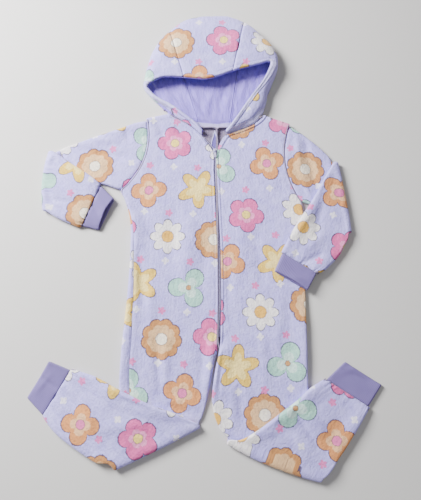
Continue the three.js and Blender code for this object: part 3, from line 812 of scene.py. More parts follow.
@dataclass(frozen=True)
class Print:
    """The plush's all-over print, on a slanting lattice of cells.

    Attributes:
        cell: a cell's size in metres. The other sizes are in cells.
        line: half the width of the outlines.
        soft: half the width of every colour's soft edge.
        jitter: how far the motifs stray from the cells' middles.
        cover: how much of the cloth the ink of the outlines hides.
        star_cover: the same for the stars.
        ink: the outlines' colour.
    """

    cell: float = 0.108
    line: float = 0.0105
    soft: float = 0.009
    jitter: float = 0.12
    cover: float = 0.86
    star_cover: float = 0.92
    ink: Colour = tone(52, 44, 66)

    def lattice(self, x: Wire, y: Wire, shift: tuple[float, float]) -> tuple[Wire, ...]:
        """Return a cell's whole numbers and the place within it."""
        rows = y / self.cell + shift[1]
        slant = x / self.cell + rows * 0.5 + shift[0]
        i, j = slant.floor(), rows.floor()
        down = rows - j - 0.5
        across = slant - i - 0.5 - down * 0.5
        return i, j, across, down

    @staticmethod
    def polar(across: Wire, down: Wire) -> tuple[Wire, Wire]:
        """Return the distance and angle from a cell's middle."""
        maths = across.shader.maths
        return maths("SQRT", across * across + down * down), maths("ARCTAN2", down, across)

    def colour(self, sh: Shader, ground: Wire, x: Wire, y: Wire) -> Wire:
        """Return the cloth's colour with the print on it."""
        i, j, across, down = self.lattice(x, y, (0.0, 0.0))
        cell = sh.wire("ShaderNodeCombineXYZ", in0=i, in1=j)
        random = sh.wire("ShaderNodeTexWhiteNoise", {"noise_dimensions": "2D"}, 1, Vector=cell)
        chances = sh.wires("ShaderNodeSeparateColor", in0=random)
        radius, angle = self.polar(
            across + (chances[0] - 0.5) * self.jitter, down + (chances[1] - 0.5) * self.jitter)
        kinds = len(MOTIFS)
        kind = sh.maths("FRACT", (i * 2 + j) / kinds + 0.5 / kinds)

        def table(pick: Callable[[Motif], Colour]) -> Wire:
            """Return a colour or three numbers that belong to the cell's motif."""
            ramp = {
                "interpolation": "CONSTANT",
                "stops": [(k / kinds, pick(motif)) for k, motif in enumerate(MOTIFS)],
            }
            return sh.wire("ShaderNodeValToRGB", ramp, 0, Fac=kind)

        def numbers(pick: Callable[[Motif], Colour]) -> list[Wire]:
            """Return three numbers, from 0 to 1, that belong to the cell's motif."""
            return sh.wires("ShaderNodeSeparateColor", in0=table(pick))

        size, depth, point = numbers(lambda m: (m.radius, m.depth, m.point / 2))
        lobes, inner, centre = numbers(lambda m: (m.lobes / 10, m.inner, m.centre))
        turned = angle + chances[2] * math.tau
        whole = (lobes * 10 + 0.5).floor()
        wave = abs((turned * whole * 0.5).cosine()) ** (point * 2)
        edge = size * (1 - depth + depth * wave)
        lines = (abs(radius - edge) - self.line).inside(self.soft)
        ring = (abs(radius - centre) - self.line * 0.6).inside(self.soft)
        ring = ring * sh.maths("GREATER_THAN", centre, 0.02)
        out = sh.blend(ground, table(lambda m: m.fill), (radius - edge).inside(self.soft))
        out = sh.blend(out, table(lambda m: m.middle), (radius - edge * inner).inside(self.soft))
        out = sh.blend(out, table(lambda m: m.eye), (radius - centre).inside(self.soft))
        out = sh.blend(out, self.ink, sh.maths("MAXIMUM", lines, ring * 0.8) * self.cover)
        for star in STARS:
            _, _, across, down = self.lattice(x, y, star.shift)
            near, turn = self.polar(across, down)
            edge = star.radius * (0.55 + 0.45 * abs((turn * (star.points * 0.5)).cosine()))
            out = sh.blend(out, star.fill, (near - edge).inside(self.soft) * self.star_cover)
        return out


@dataclass(frozen=True)
class Plush:
    """A napped fleece, plain or printed.

    Attributes:
        name: the material's name.
        ground, shade: the cloth's lighter and darker tone.
        pattern: its print.
        sheen: how much its nap shines.
        hem: the colour of its plain bands.
        tuft_shade: the painted shade between the tufts, as a share of the cloth's colour.
        brush, streak, tuft, fibre: the nap's four scales, in waves to the metre.
        wander: how far the print's lines stray, in metres.
        pile: the depth of the nap, in metres.
    """

    name: str
    ground: Colour
    shade: Colour
    pattern: Optional[Print] = None
    sheen: float = 0.45
    hem: Optional[Colour] = None
    tuft_shade: Colour = (0.66, 0.63, 0.78)
    brush: float = 42.0
    streak: float = 190.0
    tuft: float = 210.0
    fibre: float = 900.0
    wander: float = 0.004
    pile: float = 0.0042

    def material(self) -> bpy.types.Material:
        """Return the finished material."""
        sh = Shader(self.name)
        place, x, y = sh.cloth_place()
        brushed = sh.noise(place, self.brush, 3.0, 0.55)
        drawn_out = sh.wire("ShaderNodeCombineXYZ", in0=x, in1=y * 0.3)
        streaks = sh.noise(drawn_out, self.streak, 2.0, 0.55)
        tufts = sh.noise(place, self.tuft, 3.0, 0.65)
        fibres = sh.noise(place, self.fibre, 2.0, 0.6)
        uneven = brushed * 0.55 + tufts * 0.45
        mottle = sh.wire("ShaderNodeMapRange", None, 0, in0=uneven, in1=0.38, in2=0.62)
        ground = sh.blend(self.shade, self.ground, mottle)
        if self.pattern:
            right, up = (
                (sh.noise(place, scale, 1.0) - 0.5) * self.wander for scale in (260.0, 310.0))
            ground = self.pattern.colour(sh, ground, x + right, y + up)
        if self.hem:
            inside = sh.wire("ShaderNodeAttribute", {"attribute_name": "plain"}, 2)
            plain = sh.wire("ShaderNodeMapRange", None, 0, in0=inside, in1=0.1, in2=0.7)
            band = sh.blend(tuple(0.88 * c for c in self.hem), self.hem, mottle)
            ground = sh.blend(ground, band, plain)
        # Painted shade: the cloth is darkened between the nap's tufts, fibres and streaks, by the
        # same noises that shape its relief.
        nap = (fibres - 0.5) * 1.2 + (tufts - 0.5) * 1.6 + (streaks - 0.5) * 1.4
        shadow = sh.blend((1.0, 1.0, 1.0), self.tuft_shade, nap + 0.3)
        colour = sh.blend(ground, shadow, 1.0, "MULTIPLY")
        relief = brushed * 0.3 + streaks * 0.2 + tufts * 0.38 + fibres * 0.12
        return sh.finish(
            colour, 0.86 + 0.1 * tufts, relief, self.pile, Sheen_Weight=self.sheen,
            Sheen_Roughness=0.45, Sheen_Tint=(0.92, 0.88, 1.0, 1.0), Specular_IOR_Level=0.15)


@dataclass(frozen=True)
class Knit:
    """A smooth fine rib knit, its ribs along the cloth's second direction."""

    name: str
    ground: Colour
    shade: Colour
    rib: float = 0.0022
    loop: float = 0.0014

    def material(self) -> bpy.types.Material:
        """Return the finished material."""
        sh = Shader(self.name)
        place, x, y = sh.cloth_place()
        ribs = (x * (math.tau / self.rib)).cosine() * 0.5 + 0.5
        loops = (y * (math.tau / self.loop)).cosine() * 0.5 + 0.5
        uneven = sh.noise(place, 60.0, 2.0)
        # Painted shade: the rib valleys and the gaps between loops are darker, following the bump's
        # own waves; the noise adds random tone.
        colour = sh.blend(self.shade, self.ground, ribs * 0.35 + loops * 0.15 + uneven * 0.5)
        relief = ribs * 0.7 + loops * 0.15 + uneven * 0.3
        return sh.finish(
            colour, 0.82 - 0.06 * ribs, relief, 0.0005, Sheen_Weight=0.2, Sheen_Roughness=0.5,
            Specular_IOR_Level=0.25)


@dataclass(frozen=True)
class Woven:
    """A plain woven tape or a thread."""

    name: str
    ground: Colour
    shade: Colour
    thread: float = 0.0007

    def material(self) -> bpy.types.Material:
        """Return the finished material."""
        sh = Shader(self.name)
        place = sh.wire("ShaderNodeTexCoord", None, "Object")
        x, y, _ = sh.wires("ShaderNodeSeparateXYZ", in0=place)
        step = math.tau / self.thread
        weave = (x * step).cosine() * (y * step).cosine() * 0.5 + 0.5
        uneven = sh.noise(place, 140.0, 2.0)
        # Painted shade: the hollows between thread crossings are darker, following the bump's own
        # weave; the noise adds random tone.
        colour = sh.blend(self.shade, self.ground, weave * 0.5 + uneven * 0.5)
        return sh.finish(colour, 0.78 + 0.1 * weave, weave, 0.0002, Specular_IOR_Level=0.25)


@dataclass(frozen=True)
class Lacquer:
    """Smooth moulded or lacquered hardware with slight wear."""

    name: str
    ground: Colour
    worn: Colour
    metallic: float
    rough: float

    def material(self) -> bpy.types.Material:
        """Return the finished material."""
        sh = Shader(self.name)
        place = sh.wire("ShaderNodeTexCoord", None, "Object")
        uneven = sh.noise(place, 420.0, 3.0)
        colour = sh.blend(self.ground, self.worn, (uneven - 0.45) * 1.6)
        return sh.finish(colour, self.rough + 0.15 * uneven, uneven, 0.0001, Metallic=self.metallic)


@dataclass(frozen=True)
class Floor:
    """The plain pale floor."""

    ground: Colour = tone(206, 203, 200)

    def material(self) -> bpy.types.Material:
        """Return the finished material."""
        sh = Shader("pale_floor")
        place = sh.wire("ShaderNodeTexCoord", None, "Object")
        uneven = sh.noise(place, 3.0, 2.0)
        colour = sh.blend(self.ground, tuple(0.96 * c for c in self.ground), uneven)
        return sh.finish(colour, 0.85 + 0.05 * uneven)


class Finish(Enum):
    """The finishes of the onesie's pieces, each made once."""

    FLEECE = Plush(
        "printed_plush", tone(199, 191, 252), tone(181, 172, 241), Print(), 0.4,
        tone(208, 202, 252))
    # The fleece's unprinted inner face, painted darker and greyer than the outside as painted shade
    # for the garment's inside.
    INSIDE = Plush("plush_inside", tone(150, 138, 160), tone(134, 122, 146), None, 0.2)
    LINING = Plush(
        "lining_plush", tone(172, 152, 245), tone(146, 125, 226), None, 0.4, tone(200, 190, 247))
    CUFF = Knit("cuff_rib", tone(128, 113, 172), tone(110, 96, 153))
    GUARD = Plush(
        "guard_knit", tone(118, 104, 178), tone(102, 90, 162), None, 0.2, tone(198, 192, 236))
    TAPE = Woven("zip_tape_weave", tone(130, 118, 158), tone(112, 100, 140))
    THREAD = Woven("sewing_thread", tone(166, 158, 208), tone(148, 140, 192))
    TEETH = Lacquer("zip_teeth_nylon", tone(190, 182, 222), tone(172, 164, 206), 0.0, 0.45)
    METAL = Lacquer("zip_lacquer", tone(200, 194, 232), tone(176, 170, 206), 0.35, 0.35)

    def material(self) -> bpy.types.Material:
        """Return the material, making it the first time."""
        found = bpy.data.materials.get(self.value.name)
        return found if found else self.value.material()


# Meshes


def object_of(name: str, bm: bmesh.types.BMesh, finishes: Sequence[Finish]) -> bpy.types.Object:
    """Return a new object from a bmesh, with its materials, and free the bmesh."""
    mesh = bpy.data.meshes.new(name)
    bm.to_mesh(mesh)
    bm.free()
    mesh.shade_smooth()
    for finish in finishes:
        mesh.materials.append(finish.material())
    obj = bpy.data.objects.new(name, mesh)
    bpy.context.scene.collection.objects.link(obj)
    return obj


def cloth_piece(
    name: str, surface: Surface, wall: float, finishes: Sequence[Finish],
    charts: Optional[Callable[[int, int], np.ndarray]] = None, closed: bool = False,
    plain: Optional[np.ndarray] = None,
) -> bpy.types.Object:
    """Return a panel of cloth with its thickness.

    Args:
        name: the piece's name.
        surface: its outer face.
        wall: its thickness in millimetres.
        finishes: the finish outside, then inside.
        charts: gives the flat cloth's places for a face, where the panel's own don't do.
        closed: True where the first and last columns meet and are merged.
        plain: how far each point lies inside a plain hem band, in millimetres.

    Returns:
        The object.
    """
    rows, columns = surface.points.shape[:2]
    bm = bmesh.new()
    uv = bm.loops.layers.uv.new("cloth")
    bmesh.ops.create_grid(bm, x_segments=columns - 1, y_segments=rows - 1, size=0.5)
    places = [
        (round((v.co.y + 0.5) * (rows - 1)), round((v.co.x + 0.5) * (columns - 1)))
        for v in bm.verts
    ]
    bm.verts.index_update()
    for face in bm.faces:
        corners = [places[loop.vert.index] for loop in face.loops]
        cloth = surface.cloth
        if charts:
            cloth = charts(min(c[0] for c in corners), min(c[1] for c in corners))
        for loop, (i, j) in zip(face.loops, corners):
            loop[uv].uv = (cloth[i, j, 0] * MM, cloth[i, j, 1] * MM)
    band = bm.verts.layers.float.new("plain")
    for vert, (i, j) in zip(bm.verts, places):
        vert.co = to_part(surface.points[i, j])
        vert[band] = 0.0 if plain is None else float(plain[i, j])
    if surface.facing < 0:
        bmesh.ops.reverse_faces(bm, faces=bm.faces)
    if closed:
        bmesh.ops.remove_doubles(bm, verts=bm.verts, dist=MERGE)
    area = sum(face.calc_area() for face in bm.faces)
    LOG.info("%s: %.4f square metres of cloth", name, area)
    obj = object_of(name, bm, finishes)
    thick = obj.modifiers.new("wall", "SOLIDIFY")
    thick.thickness = wall * MM
    thick.offset = -1.0
    thick.material_offset = 1 if len(finishes) > 1 else 0
    thick.material_offset_rim = thick.material_offset
    return obj


def stitches(
    name: str, lines: Iterable[StitchLine], length: float = 3.4, gap: float = 1.6,
    wide: float = 0.5,
) -> bpy.types.Object:
    """Return rows of sewing stitches that lie on the cloth.

    Args:
        name: the piece's name.
        lines: the lines of points and outward directions that the stitches follow.
        length: of a stitch, in millimetres.
        gap: between stitches.
        wide: half the thread's width.

    Returns:
        The object.
    """
    bm = bmesh.new()
    for line in lines:
        left = 0.0
        pitch = (length + gap) * MM
        for (a, out), (b, _) in zip(line, line[1:]):
            step = (b - a).length
            while left < step:
                along = (b - a).normalized()
                side = out.cross(along).normalized()
                up = along.cross(side)
                at = a + along * left + up * 0.15 * MM
                axes = (along * length / 2 * MM, side * wide * MM, up * wide * MM)
                matrix = Matrix.Translation(at) @ Matrix(axes).transposed().to_4x4()
                bmesh.ops.create_icosphere(bm, subdivisions=1, radius=1.0, matrix=matrix)
                left += pitch
            left -= step
    return object_of(name, bm, (Finish.THREAD,))


def dressed(piece: bpy.types.Object, slot: str, *nodes: str) -> bpy.types.Object:
    """Ride a piece on the garment and hide the nodes it stands for."""
    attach(piece, "garment")
    if nodes:
        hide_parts(*nodes)
    return piece


def rows_from(names: str, table: Sequence[Sequence[float]], **common: Any) -> list[Row]:
    """Return rows from a table whose columns are named in one string."""
    return [Row(**dict(zip(names.split(), values)), **common) for values in table]


# Body

ZIP_LINE = ((-204, 17), (-111, 20), (-2, 19), (111, 14), (228, 10))


FRONT_FLAT, BACK_FLAT = (0.24, 0.93), (0.25, 0.93)  # each panel's flat size in metres
FRONT_AREA, BACK_AREA = 0.165, 0.18
NECK_FROM = 232                  # where the front's inner edge becomes the neck's
ZIP_TOP, ZIP_BOTTOM = 236, -206  # the ends of the zip's topstitched edge
TOPSTITCHING = ((2.4, 236, 400), (8.8, 236, 400), (6.0, -196, 234))  # inset, from y, to y
NECK_GROOVES = ((5.2, -1.3, 2.4), (9.6, 0.8, 1.6))  # inset, depth, width
ZIP_GROOVES = ((2.6, -0.7, 1.8), (6.0, 0.7, 1.4))
LEG_GATHER = {"waves": 9, "height": 0.8, "reach": 16}


def columns_of(table: Sequence[Sequence[float]]) -> tuple[list[float], list[float]]:
    """Return a table's first column and its second, as two lists."""
    return [row[0] for row in table], [row[1] for row in table]


def zip_x(y: float) -> float:
    """Return the zip's place across at a place along it."""
    return float(np.interp(y, *columns_of(ZIP_LINE)))


@dataclass
class Armhole:
    """The armhole's line in plan, from shoulder to armpit."""

    ax: float
    ay: float
    bx: float
    by: float
    bow: float

    def place(self, u: float, gap: float) -> tuple[float, float]:
        """Return the place at u, a gap inside the seam."""
        width = math.hypot(self.bx - self.ax, self.by - self.ay)
        out = self.bow * 4 * u * (1 - u) + math.copysign(gap, self.bow)
        return (
            mix(self.ax, self.bx, u) - (self.by - self.ay) / width * out,
            mix(self.ay, self.by, u) + (self.bx - self.ax) / width * out,
        )


@dataclass
class Body:
    """One half of the body: its front and its back, from shoulder to ankle.

    Attributes:
        side: the viewer's side.
        armhole: the armhole's line.
        yoke: rows u, fx, fy, bx, by, mid from shoulder to armpit.
        trunk: rows ax, y, edge_a from armpit to crotch.
        thigh: rows from crotch to knee fold.
        knee: the fold.
        shin: rows from the fold to the ankle seam.
        seam_in: how far the side seam lies in on the front, at the leg.
        front_cut: the front's turn, shift right and shift up on the printed cloth.
        back_cut: the back's.
    """

    side: Side
    armhole: Armhole
    yoke: Sequence[Sequence[float]]
    trunk: Sequence[Sequence[float]]
    thigh: Sequence[Sequence[float]]
    knee: LimbFold
    shin: Sequence[Sequence[float]]
    seam_in: float
    front_cut: tuple[float, float, float]
    back_cut: tuple[float, float, float]
    columns: int = 66

    def rows(self) -> list[Row]:
        """Return all sections, from the shoulder to the ankle."""
        sign = self.side.sign
        rows = []
        _, fx, fy, bx, by, _ = self.yoke[0]
        ax, ay = self.armhole.place(0, ARMHOLE_SEAM)
        shoulder = math.hypot(fx - ax, fy - ay)
        out = (sign * (fy - ay) / shoulder, -sign * (fx - ax) / shoulder)
        for cap in SHOULDER_CAP:
            rows.append(Row(ax, ay, bx, by, mid=SHOULDER, cap=cap, round_a=0, round_b=0,
                            inner=(fx, fy), out_x=out[0], out_y=out[1]))
        for u, fx, fy, bx, by, mid in self.yoke:
            start = self.armhole.place(u, ARMHOLE_SEAM)
            rows.append(Row(*start, bx, by, mid=mid, round_a=0, round_b=0, inner=(fx, fy)))
        for i, (ax, y, edge_a) in enumerate(self.trunk):
            inner = (zip_x(y) + sign * ZIP_HALF, y)
            rows.append(Row(ax, y, BACK_SEAM_X, y, mid=TRUNK, edge_a=edge_a, round_b=0,
                            inner=inner, seam_in=self.seam_in * (i + 1) / len(self.trunk)))
        rows += rows_from("ax ay bx by mid edge_a edge_b", self.thigh, seam_in=self.seam_in)
        rows += [replace(row, seam_in=self.seam_in) for row in self.knee.rows()]
        rows += rows_from("ax ay bx by mid edge_a edge_b lift_a lift_b", self.shin,
                          seam_in=self.seam_in, turn=180, fold=self.knee)
        return rows

    def surface(self, front: bool) -> Surface:
        """Return the front's or the back's outer face."""
        rows = self.rows()
        if front:
            rows = [replace(r, bx=r.inner[0], by=r.inner[1]) if r.inner else r for r in rows]
        seam = 1 if front else -1
        facing = self.side.sign * (1 if front else -1)
        surface = tube_surface(
            rows, front, self.columns, lambda r: (seam * r.seam_in, r.length), facing)
        surface.crease(BODY_FOLDS, 3.0 + self.side.sign + 10 * front)
        surface.gather(Edge.LAST_ROW, **LEG_GATHER, seed=2.0 + self.side.sign)
        surface.sew((Edge.FIRST_COLUMN, Edge.FIRST_ROW, Edge.LAST_ROW))
        surface.cut(*(self.front_cut if front else self.back_cut))
        if front:
            y = surface.points[:, -1:, 1]
            neck = smooth((y - NECK_FROM) / 12)
            zipped = smooth((ZIP_TOP - y) / 8) * smooth((y - ZIP_BOTTOM) / 10)
            for reach, grooves in ((neck, NECK_GROOVES), (zipped, ZIP_GROOVES)):
                for inset, depth, width in grooves:
                    surface.groove(Edge.LAST_COLUMN, inset, depth * reach, width)
        return surface

    @staticmethod
    def sewing(front: Surface) -> list[StitchLine]:
        """Return the stitch lines on the front: two by the neck, one by the zip."""
        lines = []
        for inset, low, high in TOPSTITCHING:
            start, end = ((y + SHIFT[1]) * MM for y in (low, high))
            path = front.path(Edge.LAST_COLUMN, inset)
            lines.append([pair for pair in path if start < pair[0].y < end])
        return lines

    def panel(self, name: str, front: bool, flat: tuple[float, float], area: float) -> Surface:
        """Args:
            name: the node that the panel stands for.
            front: True for the front.
            flat: its flat size in metres; not used.
            area: its flat area in square metres; not used.

        Returns:
            Its outer face.
        """
        surface = self.surface(front)
        piece = cloth_piece(f"{name}_panel", surface, FLEECE, (Finish.FLEECE, Finish.INSIDE))
        dressed(piece, "plush_fleece", name)
        return surface

    def build(self) -> None:
        """Make both panels and the sewing on the front."""
        side = self.side.value
        front = self.panel(f"front_{side}", True, FRONT_FLAT, FRONT_AREA)
        self.panel(f"back_{side}", False, BACK_FLAT, BACK_AREA)
        dressed(stitches(f"stitches_{side}", self.sewing(front)), "")


LEFT_BODY = Body(
    Side.LEFT, Armhole(-148, 304, -201, 136, 24),
    ((0.0, -92, 316, -92, 316, SHOULDER), (0.08, -80, 309, -74, 306, 11),
     (0.2, -62, 299, -50, 296, 9.5), (0.34, -41, 284, -20, 288, 9), (0.5, -21, 266, 15, 284, 9),
     (0.64, -8, 248, 15, 254, 8.6), (0.78, 4.2, 230, 15, 222, 8.6), (0.9, 7.9, 180, 15, 176, 8.4),
     (1.0, 9.8, 138, 15, 138, 8.4)),
    ((-191, 110, 12), (-182, 84, 13), (-176, 50, 13), (-175, 8, 13), (-176, -50, 13),
     (-179, -108, 13), (-183, -160, 13), (-186, -200, 13)),
    ((-187, -214, 14, -216, 8, 13, 13), (-188, -240, 8, -240, 8, 13, 12),
     (-189, -278, 1, -276, 7.6, 10, 12), (-188, -318, -5, -306, 6.5, 6.8, 9),
     (-189, -366, -11, -330, PRESSED, PRESSED, 7),
     (-190, -408, -17, -348, PRESSED, PRESSED, PRESSED)),
    LimbFold(-192, -450, -20, -369, -2, 1),
    ((-206, -436, -44, -352, 6.6, 8, 8, -0.4, 0), (-226, -435, -78, -338, 7.6, 10, 11, -2.2, 0),
     (-249, -424, -116, -325, 8, 12, 13, -6.5, 0.4),
     (-272, -410, -156, -308, 8, 13, 13, -7.8, 0.8), (-296, -394, -194, -290, 8, 13, 13, -7.8, 0),
     (-318, -376, -234, -270, 8, 13, 12, -7.8, -5),
     (-344, -349, -289, -253, 8, 10, 10, -7.8, -7.8)),
    24, (3, 12, 30), (-4, 60, 75),
)

RIGHT_BODY = Body(
    Side.RIGHT, Armhole(182, 290, 204, 108, -22),
    ((0.0, 120, 312, 120, 312, SHOULDER), (0.09, 104, 295, 100, 303, 11),
     (0.22, 82, 284, 72, 294, 9.5), (0.36, 58, 275, 44, 288, 9), (0.5, 36, 267, 15, 284, 9),
     (0.66, 24, 250, 15, 254, 8.6), (0.8, 15.8, 231, 15, 222, 8.6), (0.9, 15.2, 170, 15, 170, 8.4),
     (1.0, 17.4, 112, 15, 112, 8.4)),
    ((207, 84, 8.4), (208, 50, 8.2), (207, 8, 8.2), (206, -50, 8.4), (205, -108, 9),
     (204, -160, 13), (204, -200, 13)),
    ((204, -214, 18, -216, 8, 13, 13), (203, -244, 12.5, -242, 8, 13, 12),
     (203, -286, 6, -280, 7.6, 10, 12), (205, -332, 3, -314, 6.5, 6.8, 9),
     (209, -382, 8, -346, PRESSED, PRESSED, 7), (216, -426, 19, -372, PRESSED, PRESSED, PRESSED)),
    LimbFold(221, -472, 32, -400, 8, -1),
    ((233, -458, 58, -391, 6.6, 8, 8, -0.4, 0), (244, -446, 86, -378, 7.6, 10, 11, -2.2, 0),
     (256, -430, 116, -358, 8, 12, 13, -6.5, 0.4), (272, -410, 146, -336, 8, 13, 13, -7.8, 0.8),
     (289, -386, 178, -313, 8, 13, 13, -7.8, 0), (307, -360, 206, -290, 8, 13, 12, -7.8, -3),
     (327, -330, 238, -273, 8, 10, 10, -7.8, -7.8)),
    0, (-4, 47, -22), (3, -30, 64),
)


# Sleeves and cuffs


@dataclass
class Sleeve:
    """A sleeve, folded once over itself: rows before the fold, the fold, rows after it."""

    side: Side
    above: Sequence[Sequence[float]]
    fold: LimbFold
    below: Sequence[Sequence[float]]
    cut: tuple[float, float, float]
    columns: int = 120

    def build(self) -> None:
        rows = rows_from("ax ay bx by bow mid edge_a edge_b", self.above)
        rows += self.fold.rows()
        rows += rows_from("ax ay bx by bow mid edge_a edge_b lift_a lift_b", self.below,
                          turn=180, fold=self.fold)
        surface = tube_surface(
            rows, True, self.columns, lambda r: (-r.length, r.length), self.side.sign)
        surface.crease(SLEEVE_FOLDS, 31.0 + self.side.sign)
        surface.gather(Edge.LAST_ROW, waves=17, height=0.8, reach=15, seed=5.0 + self.side.sign)
        surface.sew((Edge.FIRST_ROW, Edge.LAST_ROW))
        surface.cut(*self.cut)
        name = f"sleeve_{self.side.value}"
        piece = cloth_piece(
            f"{name}_cloth", surface, FLEECE, (Finish.FLEECE, Finish.INSIDE), closed=True)
        dressed(piece, "plush_fleece", name)


LEFT_SLEEVE = Sleeve(
    Side.LEFT,
    ((-148, 304, -201, 136, 24, 9, 11, 9), (-172, 298, -216, 141, 17, 8.6, 12, 10),
     (-201, 287, -233, 147, 10, 8, 12, 10), (-233, 275, -254, 152, 4, 7.6, 11, 8),
     (-266, 264, -281, 148, 0, 6.8, 9, PRESSED), (-298, 252, -309, 132, 0, PRESSED, 7, PRESSED),
     (-330, 240, -338, 110, -3, PRESSED, PRESSED, PRESSED)),
    LimbFold(-369, 228, -373, 87, -8, 1),
    ((-350, 222, -355, 80, -3, 6.8, 8, 9, 0, -3), (-332, 209, -340, 71, 0, 7.8, 10, 11, 0, -6),
     (-312, 195, -323, 63, 0, 8, 12, 12, 0, -7.8), (-290, 181, -306, 56, 0, 8, 12, 12, 0, -7.8),
     (-268, 166, -294, 51, 0, 8, 12, 11, 0, -7.8), (-244, 147, -285, 50, 0, 8, 9, 9, -1.5, -7.8)),
    (38, 20, 64),
)

RIGHT_SLEEVE = Sleeve(
    Side.RIGHT,
    ((182, 290, 204, 108, -22, 9, 11, 9), (205, 274, 221, 102, -14, 8.4, 12, 8),
     (227, 256, 242, 90, -8, 8, 11, PRESSED), (248, 238, 264, 74, -3, 7, 9, PRESSED),
     (266, 220, 283, 57, 0, PRESSED, 7, PRESSED)),
    LimbFold(289, 203, 311, 37, 2, -1),
    ((271, 188, 300, 22, 0, 6.8, 8, 9, 0, -3), (257, 165, 292, 6, 0, 7.8, 10, 11, 0, -6),
     (240, 135, 282, -12, 0, 8, 12, 12, 0, -7.8), (222, 105, 270, -26, 0, 8, 12, 12, 0, -7.8),
     (203, 77, 258, -37, 0, 8, 12, 12, 1.4, -6), (180, 42, 246, -47, 0, 8, 12, 11, 2, -2),
     (153, -8, 230, -55, 0, 8, 9, 9, 2, 2)),
    (-34, 70, 18),
)


@dataclass
class Cuff:
    """A flat rib cuff.

    Attributes:
        name: the node that it stands for.
        a, b: its seam's ends.
        end_a, end_b: its open end's.
        lift_a, lift_b: how far each side is raised.
        height: of its two layers.
        gather: its width, as a share of the limb's end.
        peel: how far the upper layer's open end has slipped back.
    """

    name: str
    a: tuple[float, float]
    b: tuple[float, float]
    end_a: tuple[float, float]
    end_b: tuple[float, float]
    lift_a: float
    lift_b: float
    height: float = 7.4
    gather: float = 0.94
    peel: float = 1.2
    columns: int = 96

    def rows(self) -> list[Row]:
        """Return the sections from the seam to the open end."""
        inset = (1 - self.gather) / 2
        rows = []
        for t in (0.0, 0.25, 0.5, 0.75, 1.0):
            a = [mix(self.a[k], self.end_a[k], t) for k in (0, 1)]
            b = [mix(self.b[k], self.end_b[k], t) for k in (0, 1)]
            ends = (mix(a[0], b[0], inset), mix(a[1], b[1], inset),
                    mix(b[0], a[0], inset), mix(b[1], a[1], inset))
            rows.append(Row(*ends, *(self.height,) * 3, self.lift_a, self.lift_b))
        return rows

    def build(self) -> None:
        rows = self.rows()
        middle = [(self.a[k] + self.b[k]) / 2 for k in (0, 1)]
        end = [(self.end_a[k] + self.end_b[k]) / 2 for k in (0, 1)]
        across = Vector((self.b[0] - self.a[0], self.b[1] - self.a[1]))
        out = Vector((end[0] - middle[0], end[1] - middle[1]))
        facing = 1 if across.cross(out) > 0 else -1
        surface = tube_surface(rows, True, self.columns, lambda r: (-r.length, r.length), facing)
        along = surface.distance(Edge.FIRST_ROW)
        count = surface.points.shape[1]
        round_it = np.linspace(0, 1, count)[None, :] * 2 * rows[0].length
        surface.cloth = np.stack([np.broadcast_to(round_it, along.shape), along], axis=2)
        upper = np.sin(np.pi * np.clip(2 * spread(count - 1) - 1, 0, 1)[None, :])
        back = (along / along.max()) ** 2 * upper
        way = np.array([end[0] - middle[0], end[1] - middle[1]]) / math.dist(middle, end)
        surface.points[..., :2] -= self.peel * back[..., None] * way
        surface.points[..., 2] += 0.3 * self.peel * back
        surface.free = 0.8 * upper * np.ones_like(along)
        surface.crease(CUFF_FOLDS, 71.0 + self.a[0] / 10)
        surface.sew((Edge.FIRST_ROW,), depth=0.9, width=2.5)
        surface.sew((Edge.LAST_ROW,), depth=0.8, width=1.6)
        piece = cloth_piece(
            f"{self.name}_rib", surface, RIB, (Finish.CUFF, Finish.CUFF), closed=True)
        dressed(piece, "rib_knit", self.name)


CUFF_FOLDS = tuple(Crease(*row) for row in (
    (-352, -268, -318, -292, -2.0, 5), (-360, -300, -330, -262, 1.4, 6),
    (290, -262, 340, -282, -1.8, 6), (262, -262, 318, -248, 1.4, 6), (-262, 96, -238, 62, -1.6, 6),
    (-250, 112, -226, 84, 1.4, 6), (164, -34, 204, -62, -1.6, 6), (178, -60, 222, -72, 1.2, 6),
))

CUFFS = (
    Cuff("cuff_wrist_left", (-244, 147), (-285, 50), (-213, 116), (-247, 41), 5.6, 0, peel=7.0),
    Cuff("cuff_wrist_right", (153, -8), (230, -55), (135, -48), (209, -92), 10.4, 10.4, peel=3.0),
    Cuff("cuff_ankle_left", (-344, -349), (-289, -253), (-379, -314), (-336, -235), 0, 0),
    Cuff("cuff_ankle_right", (327, -330), (238, -273), (357, -287), (279, -237), 0, 0),
)


# Hood


UNDERSIDE = 5.0      # height below which the hood's cloth is its underside
NARROWEST_HEM = 8.0  # a plain band takes sewing only where it is wider


